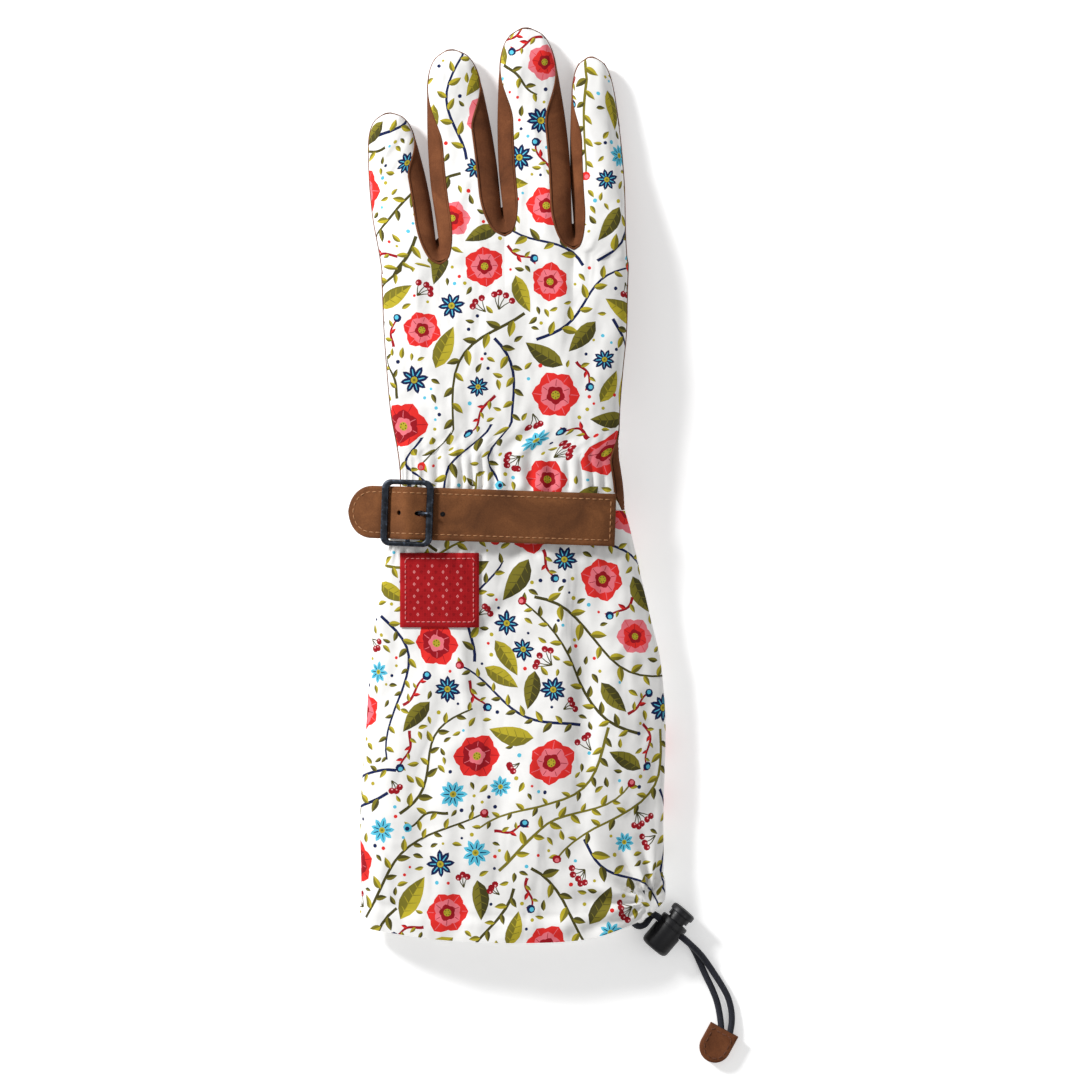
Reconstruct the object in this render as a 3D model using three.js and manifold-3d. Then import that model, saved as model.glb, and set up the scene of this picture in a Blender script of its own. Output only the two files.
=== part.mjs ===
// A rose pruning gauntlet for the left hand, lying palm down with its thumb folded under the palm.
// Printed cloth makes the back and the long cuff; leather makes the palm, the finger sides and the strap.
// Millimetres, +Z up. +Y runs to the fingertips and +X to the thumb's side. Places are worked out from
// the wrist seam at y = 0, and the whole is then centred on the floor.
import * as THREE from 'three';
import { mergeVertices } from 'three/addons/utils/BufferGeometryUtils.js';
import Module from 'manifold-3d';

const wasm = await Module();
wasm.setup();

// The gauntlet's driving sizes
const HAND_WIDTH = 106; // across the knuckles, laid flat
const HAND_LENGTH = 117.5; // wrist seam to the highest finger fork, on the back
const CUFF_WIDTH = 131;
const CUFF_LENGTH = 185.5; // wrist seam to the lowest point of the hem
const FINGER_LENGTH = 92; // middle finger, from its fork
const CLOTH = 1.2;
const LEATHER = 1.4;
const SEAM_GAP = 0.3; // between two pieces that are sewn together

// Heights above the floor. The folded thumb lifts the palm, and the fingers and cuff come down to it.
const THUMB_HEIGHT = 11.6;
const PALM_CLEARANCE = 1;
const PALM_HEIGHT = THUMB_HEIGHT + PALM_CLEARANCE;
const HAND_THICKNESS = 15;
const CUFF_THICKNESS = 22;
const FINGER_THICKNESS = 13;
const SEAM_LEVEL = 0.45; // height of the side seams, as a share of the thickness
const FULLNESS = 2.4; // 2 is an ellipse; more is squarer

// Sections of the hand, as shares: along HAND_LENGTH, left and right of half HAND_WIDTH, low of
// PALM_HEIGHT and thick of HAND_THICKNESS.
const HAND_SECTIONS = [
  { along: 0, left: -0.9, right: 0.957, low: 0.72, thick: 1 },
  { along: 0.09, left: -0.86, right: 0.942, low: 0.84, thick: 0.92 },
  { along: 0.2, left: -0.875, right: 0.91, low: 0.96, thick: 0.95 },
  { along: 0.35, left: -0.934, right: 0.91, low: 1, thick: 1.02 },
  { along: 0.5, left: -0.966, right: 0.934, low: 1, thick: 1.05 },
  { along: 0.65, left: -0.99, right: 0.966, low: 1, thick: 1.04 },
  { along: 0.8, left: -1.005, right: 0.974, low: 1, thick: 0.98 },
  { along: 1, left: -1.026, right: 0.99, low: 0.98, thick: 0.9 },
];

// Sections of the cuff, as shares: along CUFF_LENGTH, left and right of half CUFF_WIDTH, low of
// PALM_HEIGHT and thick of CUFF_THICKNESS.
const CUFF_SECTIONS = [
  { along: 0, left: -0.728, right: 0.774, low: 0.72, thick: 0.682 },
  { along: 0.06, left: -0.762, right: 0.821, low: 0.6, thick: 0.7 },
  { along: 0.15, left: -0.814, right: 0.879, low: 0.34, thick: 0.78 },
  { along: 0.25, left: -0.873, right: 0.945, low: 0.1, thick: 0.88 },
  { along: 0.35, left: -0.899, right: 1.011, low: -0.06, thick: 0.97 },
  { along: 0.5, left: -0.927, right: 1.044, low: -0.08, thick: 1 },
  { along: 0.7, left: -0.965, right: 1.03, low: -0.08, thick: 1.02 },
  { along: 0.88, left: -0.959, right: 1.03, low: -0.08, thick: 1.04 },
  { along: 1, left: -0.959, right: 1.008, low: -0.08, thick: 1.04 },
];

// Broad soft folds down the cuff: middle across from -1 to 1, width likewise, the stretch as shares of
// CUFF_LENGTH, and depth of FOLD_DEPTH. The cloth's underside lies flat and has none.
const FOLD_DEPTH = 1.6;
const CUFF_FOLDS = [
  { across: -0.62, width: 0.16, from: 0.3, to: 0.98, depth: -0.6 },
  { across: -0.2, width: 0.14, from: 0.55, to: 1, depth: 0.45 },
  { across: 0.22, width: 0.12, from: 0.5, to: 1, depth: -1 },
  { across: 0.48, width: 0.12, from: 0.12, to: 0.9, depth: -0.9 },
  { across: 0.7, width: 0.12, from: 0.1, to: 1, depth: 0.7 },
];

// The hem's edge: how far down it hangs, as a share of CUFF_LENGTH, across the cuff from -1 to 1.
// The drawcord pulls it up at the thumb's side.
const HEM_EDGE = [
  { across: -1, down: 0.966 },
  { across: -0.8, down: 0.978 },
  { across: -0.4, down: 0.995 },
  { across: 0.1, down: 1 },
  { across: 0.5, down: 0.992 },
  { across: 0.75, down: 0.965 },
  { across: 0.9, down: 0.94 },
  { across: 1, down: 0.905 },
];

// The forks between the fingers, as shares of half the hand across and of HAND_LENGTH along the back.
const FORKS = [
  { across: -1, along: 0.86 },
  { across: -0.53, along: 0.897 },
  { across: 0, along: 1 },
  { across: 0.56, along: 0.951 },
  { across: 1, along: 0.9 },
];
const PALM_FORK_RISE = 9; // the palm's forks lie this much nearer the fingertips than the back's
const FORK_DIP = 0.24; // how far the back sinks at a fork, as a share of its rise over the seam
const FORK_DIP_LENGTH = 34;
const FORK_DIP_WIDTH = 0.26; // to each side, as a share of half the hand

// The fingers, as shares: width of HAND_WIDTH, lean of HAND_WIDTH sideways at the tip, and reach of
// FINGER_LENGTH. Where two fingers meet, a leather side strip joins them.
const FINGERS = [
  { name: 'little', width: 0.236, lean: -0.098, reach: 0.75, outer: -1 },
  { name: 'ring', width: 0.272, lean: -0.09, reach: 0.955, outer: 0 },
  { name: 'middle', width: 0.286, lean: -0.058, reach: 1.02, outer: 0 },
  { name: 'fore', width: 0.212, lean: -0.04, reach: 0.945, outer: 1 },
];

// A finger's sections, as shares: along its length, width of its own width, low of PALM_HEIGHT and
// thick of FINGER_THICKNESS.
const FINGER_SECTIONS = [
  { along: 0, width: 0.93, low: 0.98, thick: 1.04 },
  { along: 0.15, width: 0.97, low: 0.82, thick: 1.04 },
  { along: 0.35, width: 1.02, low: 0.36, thick: 1.04 },
  { along: 0.55, width: 0.98, low: 0.04, thick: 1 },
  { along: 0.7, width: 0.9, low: -0.05, thick: 0.99 },
  { along: 0.82, width: 0.81, low: -0.04, thick: 0.92 },
  { along: 0.91, width: 0.67, low: 0.02, thick: 0.74 },
  { along: 0.97, width: 0.44, low: 0.14, thick: 0.46 },
  { along: 1, width: 0.1, low: 0.3, thick: 0.1 },
];
const FORK_BLEND = 18; // length over which a finger takes over from the hand's own shape
const SIDE_EDGES = { back_left: 0.94, back_right: 1.1, palm: 0.74 }; // angles where cloth meets side leather
const SIDE_STRIP_END = 0.9; // share of the finger where its side strip runs out
const SIDE_STRIP_TAPER = 0.34; // share of the finger over which it narrows
const STRIP_GAP_ANGLE = 0.055; // what SEAM_GAP is as an angle of a finger's section
const FORK_LAP = 1.8; // how far a strip leans out at the palm's side of a fork, as a share of LEATHER

// Gathers where the wrist is elastic, and along the hem
const GATHER_COUNT = 6; // over the back
const GATHER_DEPTH = 0.8;
const GATHER_LENGTH = 26;
const HEM_GATHER_COUNT = 12; // all round
const HEM_GATHER_DEPTH = 0.6;
const HEM_GATHER_LENGTH = 30;

// The palm's leather shows on the back at the thumb's side of the wrist
const PALM_WRAP_ANGLE = 0.42;
const PALM_WRAP_MIDDLE = 14;
const PALM_WRAP_LENGTH = 24;

// The hem's casing, a tube for the drawcord
const CASING_DEPTH = 11;
const CASING_THICKNESS = 5;
const CASING_BULGE = 0.9;
const CASING_SHOULDER = 4; // length over which the wall thickens into it

// The thumb, swept from a hole in the palm and laid flat towards the fingers
const THUMB_HOLE = { x: 26, y: 36, half_width: 18.5, half_length: 22.5 };
const THUMB_LEAN = -0.2; // sideways for each millimetre towards the tip, at its root
const THUMB_BEND = 1.8; // radius at the top of the fold
const THUMB_HOLE_EASE = 0.5; // between the thumb's root and the palm all round
const THUMB_LENGTH = 65; // from the fold to the tip, as laid
const THUMB_HALF_WIDTH = 21;
// The thumb's sections beyond the fold, as shares: along and sideways of THUMB_LENGTH, width of
// THUMB_HALF_WIDTH and thick of THUMB_HEIGHT.
const THUMB_SECTIONS = [
  { along: 0, sideways: 0, width: 0.93, thick: 1 },
  { along: 0.25, sideways: -0.05, width: 0.99, thick: 1 },
  { along: 0.5, sideways: -0.11, width: 1, thick: 0.99 },
  { along: 0.7, sideways: -0.17, width: 0.94, thick: 0.92 },
  { along: 0.85, sideways: -0.215, width: 0.8, thick: 0.76 },
  { along: 0.94, sideways: -0.235, width: 0.6, thick: 0.56 },
  { along: 0.985, sideways: -0.245, width: 0.33, thick: 0.32 },
  { along: 1, sideways: -0.25, width: 0.1, thick: 0.12 },
];
const THUMB_FRONT_REACH = 0.16; // how far the leather wraps past the thumb's sides, in radians
const THUMB_GUSSET_REACH = 0.7; // more of it at the root, on the little finger's side
const THUMB_TIP_LIFT = 0.12; // how far its thin tip's middle stays up, as a share of what it loses

// The strap and its buckle
const STRAP_WIDTH = 22.5;
const STRAP = 1.8;
const STRAP_Y = -2.7; // middle of the strap, below the wrist seam
const STRAP_SLOPE = -0.034; // it climbs towards the little finger's side
const STRAP_END_X = 46.5; // its sewn end
const STRAP_TAB = 15.5; // free end beyond the buckle
const HOLE_PITCH = 9.65;
const PRONG_PLACE = 5.9; // the prong's hole, from the buckle's middle towards the strap's sewn end
const HOLE_RADIUS = 1.1;
const BUCKLE_X = -42.6;
const BUCKLE_LENGTH = 22.8;
const BUCKLE_WIDTH = 28.6;
const BUCKLE_BAR = 3.1; // width of the frame's sides
const BUCKLE_PLATE = 2.2; // thickness of the frame
const BUCKLE_TILT = 0.2; // its left side hangs down over the edge of the wrist
const CENTRE_BAR_RADIUS = 1;
const CENTRE_BAR_DROP = 2.4; // below the frame's middle plane
const HOLDER = 1; // leather of the loop that holds the buckle
const HOLDER_WIDTH = 19;
const PRONG_RADIUS = 0.75;
const STRAP_EASE = 0.6; // more room for the strap where it bends over or under a bar

// The label
const LABEL = { x: -28.9, y: -34.3, width: 34, height: 32, thickness: 1 };

// The drawcord, its lock and its end tab
const CORD_RADIUS = 1.4;
const CORD_CLEARANCE = 0.3;
const LOCK = { x: 70.5, y: -180, turn: 0.873 }; // middle of its cord hole, and its axis in the plan
const BARREL_RADIUS = 6.5;
const BARREL_WALL = 1.4;
const BARREL_BORE = BARREL_RADIUS - BARREL_WALL;
const BARREL_LENGTH = 15.5;
const BARREL_FLOOR = 2;
const BARREL_LIP = 3.6; // from the cord hole's middle to the barrel's mouth
const PLUNGER_CLEARANCE = 0.3; // all round, in the bore
const PLUNGER_HEAD_RADIUS = 5.6;
const PLUNGER_HEAD = 3;
const PLUNGER_TRAVEL = 3;
const PLUNGER_MOUTH_GAP = 0.4; // left under its head when it is pressed in
const PLUNGER_FLOOR_GAP = 1; // left for the spring then
const TAB_WIDTH = 13.5;
const TAB_LENGTH = 15.5;
const TAB_THICKNESS = 4.6;
const TAB_TURN = -0.14;
const TAB_SHIFT = 0.7; // its middle from the strands' ends, towards the thumb's side
const TAB_LAP = 5.6; // length of the strands inside it

// The end of the forefinger has a second layer of leather
const TIP_PATCH = 1;
const TIP_PATCH_START = 0.66;

// The least half width and half height of a hollow where it closes at a tip
const LEAST_REACH = 0.3;
const LEAST_RISE = 0.15;

const colours = {
  cloth: new THREE.MeshStandardMaterial({ color: 0xf1eeea, roughness: 0.85, metalness: 0 }),
  leather: new THREE.MeshStandardMaterial({ color: 0x854f30, roughness: 0.9, metalness: 0 }),
  strap: new THREE.MeshStandardMaterial({ color: 0x77442a, roughness: 0.85, metalness: 0 }),
  label: new THREE.MeshStandardMaterial({ color: 0xa5161d, roughness: 0.9, metalness: 0 }),
  steel: new THREE.MeshStandardMaterial({ color: 0x20242c, roughness: 0.4, metalness: 0.9 }),
  plastic: new THREE.MeshStandardMaterial({ color: 0x121316, roughness: 0.5, metalness: 0 }),
  cord: new THREE.MeshStandardMaterial({ color: 0x15161c, roughness: 0.9, metalness: 0 }),
};

const power = (value, exponent) => Math.sign(value) * Math.abs(value) ** exponent;
const clamp = (value) => Math.min(1, Math.max(0, value));
const smooth = (value) => clamp(value) ** 2 * (3 - 2 * clamp(value));
const mix = (a, b, share) => a + (b - a) * share;

// A column of a table between its rows, on a smooth curve through them.
function read(table, key, column, at) {
  const last = table.length - 1;
  let i = 0;
  while (i < last - 1 && at > table[i + 1][key]) i += 1;
  const slope = (k) => {
    const before = table[Math.max(0, k - 1)];
    const after = table[Math.min(last, k + 1)];
    return (after[column] - before[column]) / (after[key] - before[key]);
  };
  const a = table[i];
  const b = table[i + 1];
  const width = b[key] - a[key];
  const t = clamp((at - a[key]) / width);
  return (
    (1 + 2 * t) * (1 - t) ** 2 * a[column] +
    t * (1 - t) ** 2 * width * slope(i) +
    t ** 2 * (3 - 2 * t) * b[column] +
    t ** 2 * (t - 1) * width * slope(i + 1)
  );
}

// The gauntlet's body at y: its left and right edges, the height of its underside and its thickness.
function bodyAt(y) {
  const hand = y > 0;
  const table = hand ? HAND_SECTIONS : CUFF_SECTIONS;
  const along = hand ? y / HAND_LENGTH : -y / CUFF_LENGTH;
  const half = (hand ? HAND_WIDTH : CUFF_WIDTH) / 2;
  const low = PALM_HEIGHT * read(table, 'along', 'low', along);
  const thick = (hand ? HAND_THICKNESS : CUFF_THICKNESS) * read(table, 'along', 'thick', along);
  return {
    left: half * read(table, 'along', 'left', along),
    right: half * read(table, 'along', 'right', along),
    seam: low + SEAM_LEVEL * thick,
    up: (1 - SEAM_LEVEL) * thick,
    down: SEAM_LEVEL * thick,
  };
}

// How far a sheet stops short of a seam, as an angle of a section that rises this much from it.
const seamAngle = (rise) => Math.asin((SEAM_GAP / 2 / rise) ** (FULLNESS / 2));
const angleOf = (across) => Math.acos(power(across, FULLNESS / 2));
const acrossOf = (angle) => power(Math.cos(angle), 2 / FULLNESS);
const upOf = (angle) => power(Math.sin(angle), 2 / FULLNESS);

// The ripples that elastic and drawcord pull into the cloth, outwards, at an angle round the body.
function gather(y, angle) {
  const wrist = GATHER_DEPTH * Math.max(0, 1 - Math.abs(y) / GATHER_LENGTH) ** 1.5;
  const ripple = Math.cos(2 * GATHER_COUNT * angle + Math.sin(3 * angle));
  const onBack = smooth(4 * Math.sin(angle));
  const hem = HEM_GATHER_DEPTH * clamp(1 - (y + CUFF_LENGTH) / HEM_GATHER_LENGTH);
  const hemRipple = Math.cos(HEM_GATHER_COUNT * angle + Math.sin(2 * angle));
  return wrist * onBack * ripple + hem * hemRipple;
}

// The cuff's broad folds at y and at a place across it.
function fold(y, across) {
  const along = -y / CUFF_LENGTH;
  return CUFF_FOLDS.reduce((sum, { across: middle, width, from, to, depth }) => {
    const near = Math.exp(-(((across - middle) / width) ** 2));
    const there = smooth((along - from) / 0.15) * smooth((to - along) / 0.15 + 0.3);
    return sum + FOLD_DEPTH * depth * near * there;
  }, 0);
}

// A point of the body at y and at an angle: 0 is the thumb's side, a quarter turn the back. What would
// sink into the floor is flattened on it.
function bodyPoint(y, angle, inset, outset = 0) {
  const s = bodyAt(y);
  const reach = (s.right - s.left) / 2 - inset + outset;
  const up = upOf(angle);
  const rise = (up > 0 ? s.up : s.down) - inset + outset;
  const folds = up > 0 && y < 0 ? fold(y, acrossOf(angle)) * up : 0;
  const z = s.seam + rise * up + gather(y, angle) * up + folds;
  return new THREE.Vector3(
    (s.left + s.right) / 2 + reach * acrossOf(angle),
    y,
    Math.max(z, inset),
  );
}

// How far round the palm's leather reaches onto the back at the thumb's side of the wrist.
function palmWrap(y) {
  return PALM_WRAP_ANGLE * smooth(1.35 - (1.35 * Math.abs(y - PALM_WRAP_MIDDLE)) / PALM_WRAP_LENGTH);
}

// How much further the palm reaches than the back, at a place across the hand.
const palmRise = (across, side) => (side < 0 ? PALM_FORK_RISE * (1 - Math.abs(across) ** 3) : 0);

// The line through the forks on the back, or on the palm.
function forkLine(across, side) {
  let i = 0;
  while (i < FORKS.length - 2 && across > FORKS[i + 1].across) i += 1;
  const [a, b] = [FORKS[i], FORKS[i + 1]];
  const along = mix(a.along, b.along, (across - a.across) / (b.across - a.across));
  return HAND_LENGTH * along + palmRise(across, side);
}

// How near a place across the hand is to a fork, 1 at the fork and 0 at the middle of a finger.
function forkNearness(across) {
  const inner = FORKS.slice(1, -1).map((fork) => Math.abs(across - fork.across));
  return Math.max(0, 1 - Math.min(...inner) / FORK_DIP_WIDTH) ** 2;
}

// A point of the hand's back (side 1) or palm (side -1). rows runs from the wrist, 0, to the forks, 1.
function handPoint(row, across, side, inset) {
  const y = mix(SEAM_GAP / 2, forkLine(across, side), row);
  const s = bodyAt(Math.min(y, HAND_LENGTH));
  const wrap = palmWrap(y);
  const edge = seamAngle(side > 0 ? s.up : s.down) * (1 + (1.5 * wrap) / PALM_WRAP_ANGLE);
  const turn = angleOf(across) / Math.PI;
  const angle =
    side > 0
      ? wrap + edge + turn * (Math.PI - wrap - 2 * edge)
      : wrap - edge - turn * (Math.PI + wrap - 2 * edge);
  const point = bodyPoint(Math.min(y, HAND_LENGTH), angle, inset);
  point.y = y;
  const fromFork = (forkLine(across, side) - y) / FORK_DIP_LENGTH;
  point.z -= side * FORK_DIP * s.up * forkNearness(across) * smooth(1 - fromFork);
  return point;
}

// A finger's own frame: its root's middle, its direction, its length and its half width.
function fingerFrame(finger) {
  const i = FINGERS.indexOf(finger);
  const [a, b] = [FORKS[i], FORKS[i + 1]];
  const y = (HAND_LENGTH * (a.along + b.along)) / 2;
  const s = bodyAt(y);
  const root = new THREE.Vector2(mix(s.left, s.right, (a.across + b.across + 2) / 4), y);
  const length = FINGER_LENGTH * finger.reach;
  const direction = new THREE.Vector2(HAND_WIDTH * finger.lean, length).normalize();
  return { root, direction, length, half: (HAND_WIDTH * finger.width) / 2 };
}

// A finger's underside and thickness at a share of its length.
function fingerHeights(finger, along) {
  const lift = finger.outer > 0 ? (TIP_PATCH + SEAM_GAP) * smooth(3 * along - 1) : 0;
  return {
    low: PALM_HEIGHT * read(FINGER_SECTIONS, 'along', 'low', along) + lift,
    thick: FINGER_THICKNESS * read(FINGER_SECTIONS, 'along', 'thick', along),
    lift,
  };
}

// A point of a finger's section at a distance from its root, before it is joined to the hand. Its inner
// face stops one wall short of the tip.
function bareFingerPoint(finger, distance, angle, inset) {
  const { root, direction, length, half } = fingerFrame(finger);
  const along = distance / length;
  const reach = Math.max(LEAST_REACH, half * read(FINGER_SECTIONS, 'along', 'width', along) - inset);
  const { low, thick, lift } = fingerHeights(finger, along);
  const up = upOf(angle);
  const rise = Math.max(LEAST_RISE, (up > 0 ? 1 - SEAM_LEVEL : SEAM_LEVEL) * thick - inset);
  const sideways = reach * acrossOf(angle);
  const forwards = distance - inset * smooth((along - 0.85) / 0.15);
  return new THREE.Vector3(
    root.x + direction.x * forwards + direction.y * sideways,
    root.y + direction.y * forwards - direction.x * sideways,
    Math.max(low + SEAM_LEVEL * thick + rise * up, lift + inset),
  );
}

// Where the cloth or the palm's leather ends on a finger's left (-1) or right (1) edge, in radians
// from the seam's level.
function edgeAngle(finger, along, edge, side) {
  const { thick } = fingerHeights(finger, along);
  const seam = seamAngle(Math.max(1, SEAM_LEVEL * thick));
  if (edge === finger.outer || along > SIDE_STRIP_END) return seam;
  const full = side < 0 ? SIDE_EDGES.palm : SIDE_EDGES[edge < 0 ? 'back_left' : 'back_right'];
  const taper = smooth((SIDE_STRIP_END - along) / SIDE_STRIP_TAPER);
  return 2 * STRIP_GAP_ANGLE + full * taper;
}

// The angle round a finger for a place across its back or palm sheet, from -1 to 1.
function sheetAngle(finger, along, across, side) {
  const left = edgeAngle(finger, along, -1, side);
  const right = edgeAngle(finger, along, 1, side);
  const turn = angleOf(across) / Math.PI;
  return side * (right + turn * (Math.PI - left - right));
}

// The place across the hand of a place across a finger.
function acrossHand(finger, across) {
  const i = FINGERS.indexOf(finger);
  return mix(FORKS[i].across, FORKS[i + 1].across, (across + 1) / 2);
}

// Where a finger's sheet leaves the hand, as a distance from the finger's root.
function startOf(finger, across, side) {
  const { root, direction } = fingerFrame(finger);
  return (forkLine(acrossHand(finger, across), side) - root.y) / direction.y;
}

// How much of the hand's own shape is left at a distance beyond the forks.
const forkFade = (distance) => (1 - Math.sqrt(clamp(distance / FORK_BLEND))) ** 1.5;

// A point of a finger's back or palm sheet. It leaves the hand's last row without a step.
function fingerPoint(finger, along, across, side, inset) {
  const { length } = fingerFrame(finger);
  const start = startOf(finger, across, side);
  const distance = mix(start, length, along);
  const bareAt = (from, at) =>
    bareFingerPoint(finger, from, sheetAngle(finger, at, across, side), inset);
  const step = handPoint(1, acrossHand(finger, across), side, inset).sub(bareAt(start, 0));
  return bareAt(distance, along).add(step.multiplyScalar(forkFade(distance - start)));
}

// Turns pairs of outer and inner points and the faces between them into one closed geometry.
function thicken(outer, inner, faces) {
  const count = outer.length;
  const index = [];
  const edges = new Set();
  for (const [a, b, c] of faces) {
    index.push(a, b, c, c + count, b + count, a + count);
    edges.add(`${a},${b}`).add(`${b},${c}`).add(`${c},${a}`);
  }
  for (const edge of edges) {
    const [a, b] = edge.split(',').map(Number);
    if (!edges.has(`${b},${a}`)) index.push(b, a, a + count, b, a + count, b + count);
  }
  const positions = [...outer, ...inner].flatMap((p) => [p.x, p.y, p.z]);
  const geometry = new THREE.BufferGeometry();
  geometry.setAttribute('position', new THREE.Float32BufferAttribute(positions, 3));
  geometry.setIndex(index);
  return geometry;
}

// Two triangles for each cell of a grid of point numbers. side 1 has its columns' sense seen from outside.
function gridFaces(grid, side) {
  const faces = [];
  for (let i = 0; i + 1 < grid.length; i += 1) {
    for (let j = 0; j + 1 < grid[i].length; j += 1) {
      const [a, b, c, d] = [grid[i][j], grid[i][j + 1], grid[i + 1][j + 1], grid[i + 1][j]];
      if (side > 0) faces.push([a, b, c], [a, c, d]);
      else faces.push([a, c, b], [a, d, c]);
    }
  }
  return faces;
}

// A sheet over a plain grid: point(i, j, inner) gives its points.
function gridSheet(rows, columns, point, side = 1) {
  const outer = [];
  const inner = [];
  const grid = [];
  for (let i = 0; i <= rows; i += 1) {
    const line = [];
    for (let j = 0; j <= columns; j += 1) {
      line.push(outer.length);
      outer.push(point(i / rows, j / columns, false));
      inner.push(point(i / rows, j / columns, true));
    }
    grid.push(line);
  }
  return thicken(outer, inner, gridFaces(grid, side));
}

function solidOf(geometry) {
  const bare = geometry.index ? geometry.toNonIndexed() : geometry.clone();
  bare.deleteAttribute('normal');
  bare.deleteAttribute('uv');
  const merged = mergeVertices(bare, 1e-4);
  return new wasm.Manifold(
    new wasm.Mesh({
      numProp: 3,
      vertProperties: merged.attributes.position.array,
      triVerts: new Uint32Array(merged.index.array),
    }),
  );
}

function geometryOf(solid) {
  const made = solid.getMesh();
  const geometry = new THREE.BufferGeometry();
  geometry.setAttribute('position', new THREE.BufferAttribute(new Float32Array(made.vertProperties), 3));
  geometry.setIndex(new THREE.BufferAttribute(new Uint32Array(made.triVerts), 1));
  return geometry;
}

// A geometry with others cut out of it.
const cut = (geometry, ...tools) =>
  geometryOf(tools.reduce((solid, tool) => solid.subtract(solidOf(tool)), solidOf(geometry)));

function joined(...geometries) {
  const [first, ...rest] = geometries.map(solidOf);
  return geometryOf(rest.reduce((solid, other) => solid.add(other), first));
}

function named(name, geometry, material) {
  const mesh = new THREE.Mesh(geometry, material);
  mesh.name = name;
  return mesh;
}

const HAND_ROWS = 6;
const ROW_CROWDING = 1.15; // rows lie closer together towards the wrist
const FINGER_COLUMNS = 8;
const FINGER_ALONG = [0.04, 0.13, 0.34, 0.54, TIP_PATCH_START, 0.81, SIDE_STRIP_END, 0.965, 1];

// The hand's back or palm with its four finger fronts, as one sheet that forks.
function handSheet(side, wall) {
  const outer = [];
  const inner = [];
  const add = (point) => {
    outer.push(point(0));
    inner.push(point(wall));
    return outer.length - 1;
  };
  const columns = [];
  for (const finger of FINGERS) {
    for (let k = finger.outer < 0 ? 0 : 1; k <= FINGER_COLUMNS; k += 1) {
      columns.push(acrossHand(finger, -Math.cos((Math.PI * k) / FINGER_COLUMNS)));
    }
  }
  const hand = [];
  for (let i = 0; i <= HAND_ROWS; i += 1) {
    const row = (i / HAND_ROWS) ** ROW_CROWDING;
    hand.push(columns.map((across) => add((inset) => handPoint(row, across, side, inset))));
  }
  const faces = gridFaces(hand, side);
  FINGERS.forEach((finger, i) => {
    const first = i * FINGER_COLUMNS;
    const grid = [hand[HAND_ROWS].slice(first, first + FINGER_COLUMNS + 1)];
    for (const along of FINGER_ALONG) {
      const line = [];
      for (let k = 0; k <= FINGER_COLUMNS; k += 1) {
        const across = -Math.cos((Math.PI * k) / FINGER_COLUMNS);
        line.push(add((inset) => fingerPoint(finger, along, across, side, inset)));
      }
      grid.push(line);
    }
    faces.push(...gridFaces(grid, side));
  });
  return thicken(outer, inner, faces);
}

// A leather strip that runs down one finger's side, round the fork and up its neighbour's. Its edges
// keep to those of the back and the palm, and it is as thick as they are there.
function sideStrip(lower, upper) {
  const stops = [...FINGER_ALONG.filter((along) => along < SIDE_STRIP_END), SIDE_STRIP_END];
  const route = [
    ...[...stops].reverse().map((along) => ({ finger: lower, along, edge: 1 })),
    { finger: null },
    ...stops.map((along) => ({ finger: upper, along, edge: -1 })),
  ];
  const fork = (share, inset) =>
    fingerPoint(lower, 0, 1, 1, inset).lerp(fingerPoint(lower, 0, 1, -1, inset), share);
  const forkPoint = (share, inset) => {
    const seat = SEAM_GAP + mix(CLOTH, LEATHER, share) + FORK_LAP * LEATHER * share;
    return fork(share, 0).add(new THREE.Vector3(0, seat - inset, 0));
  };
  const sidePoint = ({ finger, along, edge }, share, inset) => {
    const start = mix(startOf(finger, edge, 1), startOf(finger, edge, -1), share);
    const distance = mix(start, fingerFrame(finger).length, along);
    const bareAt = (from, at) => {
      const [top, bottom] = [1, -1].map((side) => edgeAngle(finger, at, edge, side) - STRIP_GAP_ANGLE);
      const turn = mix(top, -bottom, share);
      return bareFingerPoint(finger, from, edge > 0 ? turn : Math.PI - turn, inset);
    };
    const step = fork(share, inset).sub(bareAt(start, 0));
    return bareAt(distance, along).add(step.multiplyScalar(forkFade(distance - start)));
  };
  const point = (row, column, inner) => {
    const at = route[Math.round(row * (route.length - 1))];
    const inset = inner ? mix(CLOTH, LEATHER, column) : 0;
    return at.finger ? sidePoint(at, column, inset) : forkPoint(column, inset);
  };
  return gridSheet(route.length - 1, 3, point, -1);
}

const CUFF_ROWS = [0, 0.06, 0.13, 0.23, 0.36, 0.52, 0.7, 0.84, 0.93, 0.97, 1];
const CUFF_COLUMNS = 2 * HEM_GATHER_COUNT;

// The cuff's back (side 1) or underside (side -1). Its hem is half of a casing for the drawcord.
function cuffPanel(side) {
  const last = CUFF_ROWS.length - 1;
  const point = (row, column, inner) => {
    const edge = -CUFF_LENGTH * read(HEM_EDGE, 'across', 'down', acrossOf(Math.PI * column));
    const y = mix(-SEAM_GAP / 2, edge, CUFF_ROWS[Math.round(row * last)]);
    const s = bodyAt(y);
    const seam = seamAngle(side > 0 ? s.up : s.down);
    const angle = side * mix(seam, Math.PI - seam, column);
    const casing = smooth((edge + CASING_DEPTH - y) / CASING_SHOULDER);
    const wall = mix(CLOTH, CASING_THICKNESS, casing);
    return bodyPoint(y, angle, inner ? wall : 0, CASING_BULGE * casing);
  };
  return gridSheet(last, CUFF_COLUMNS, point, side);
}

// A round rod from one point to another.
function rod(from, to, radius, sides = 12) {
  const length = from.distanceTo(to);
  const geometry = new THREE.CylinderGeometry(radius, radius, length, sides);
  const turn = new THREE.Quaternion().setFromUnitVectors(
    new THREE.Vector3(0, 1, 0),
    to.clone().sub(from).normalize(),
  );
  geometry.applyQuaternion(turn);
  const middle = from.clone().add(to).multiplyScalar(0.5);
  return geometry.translate(middle.x, middle.y, middle.z);
}

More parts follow.
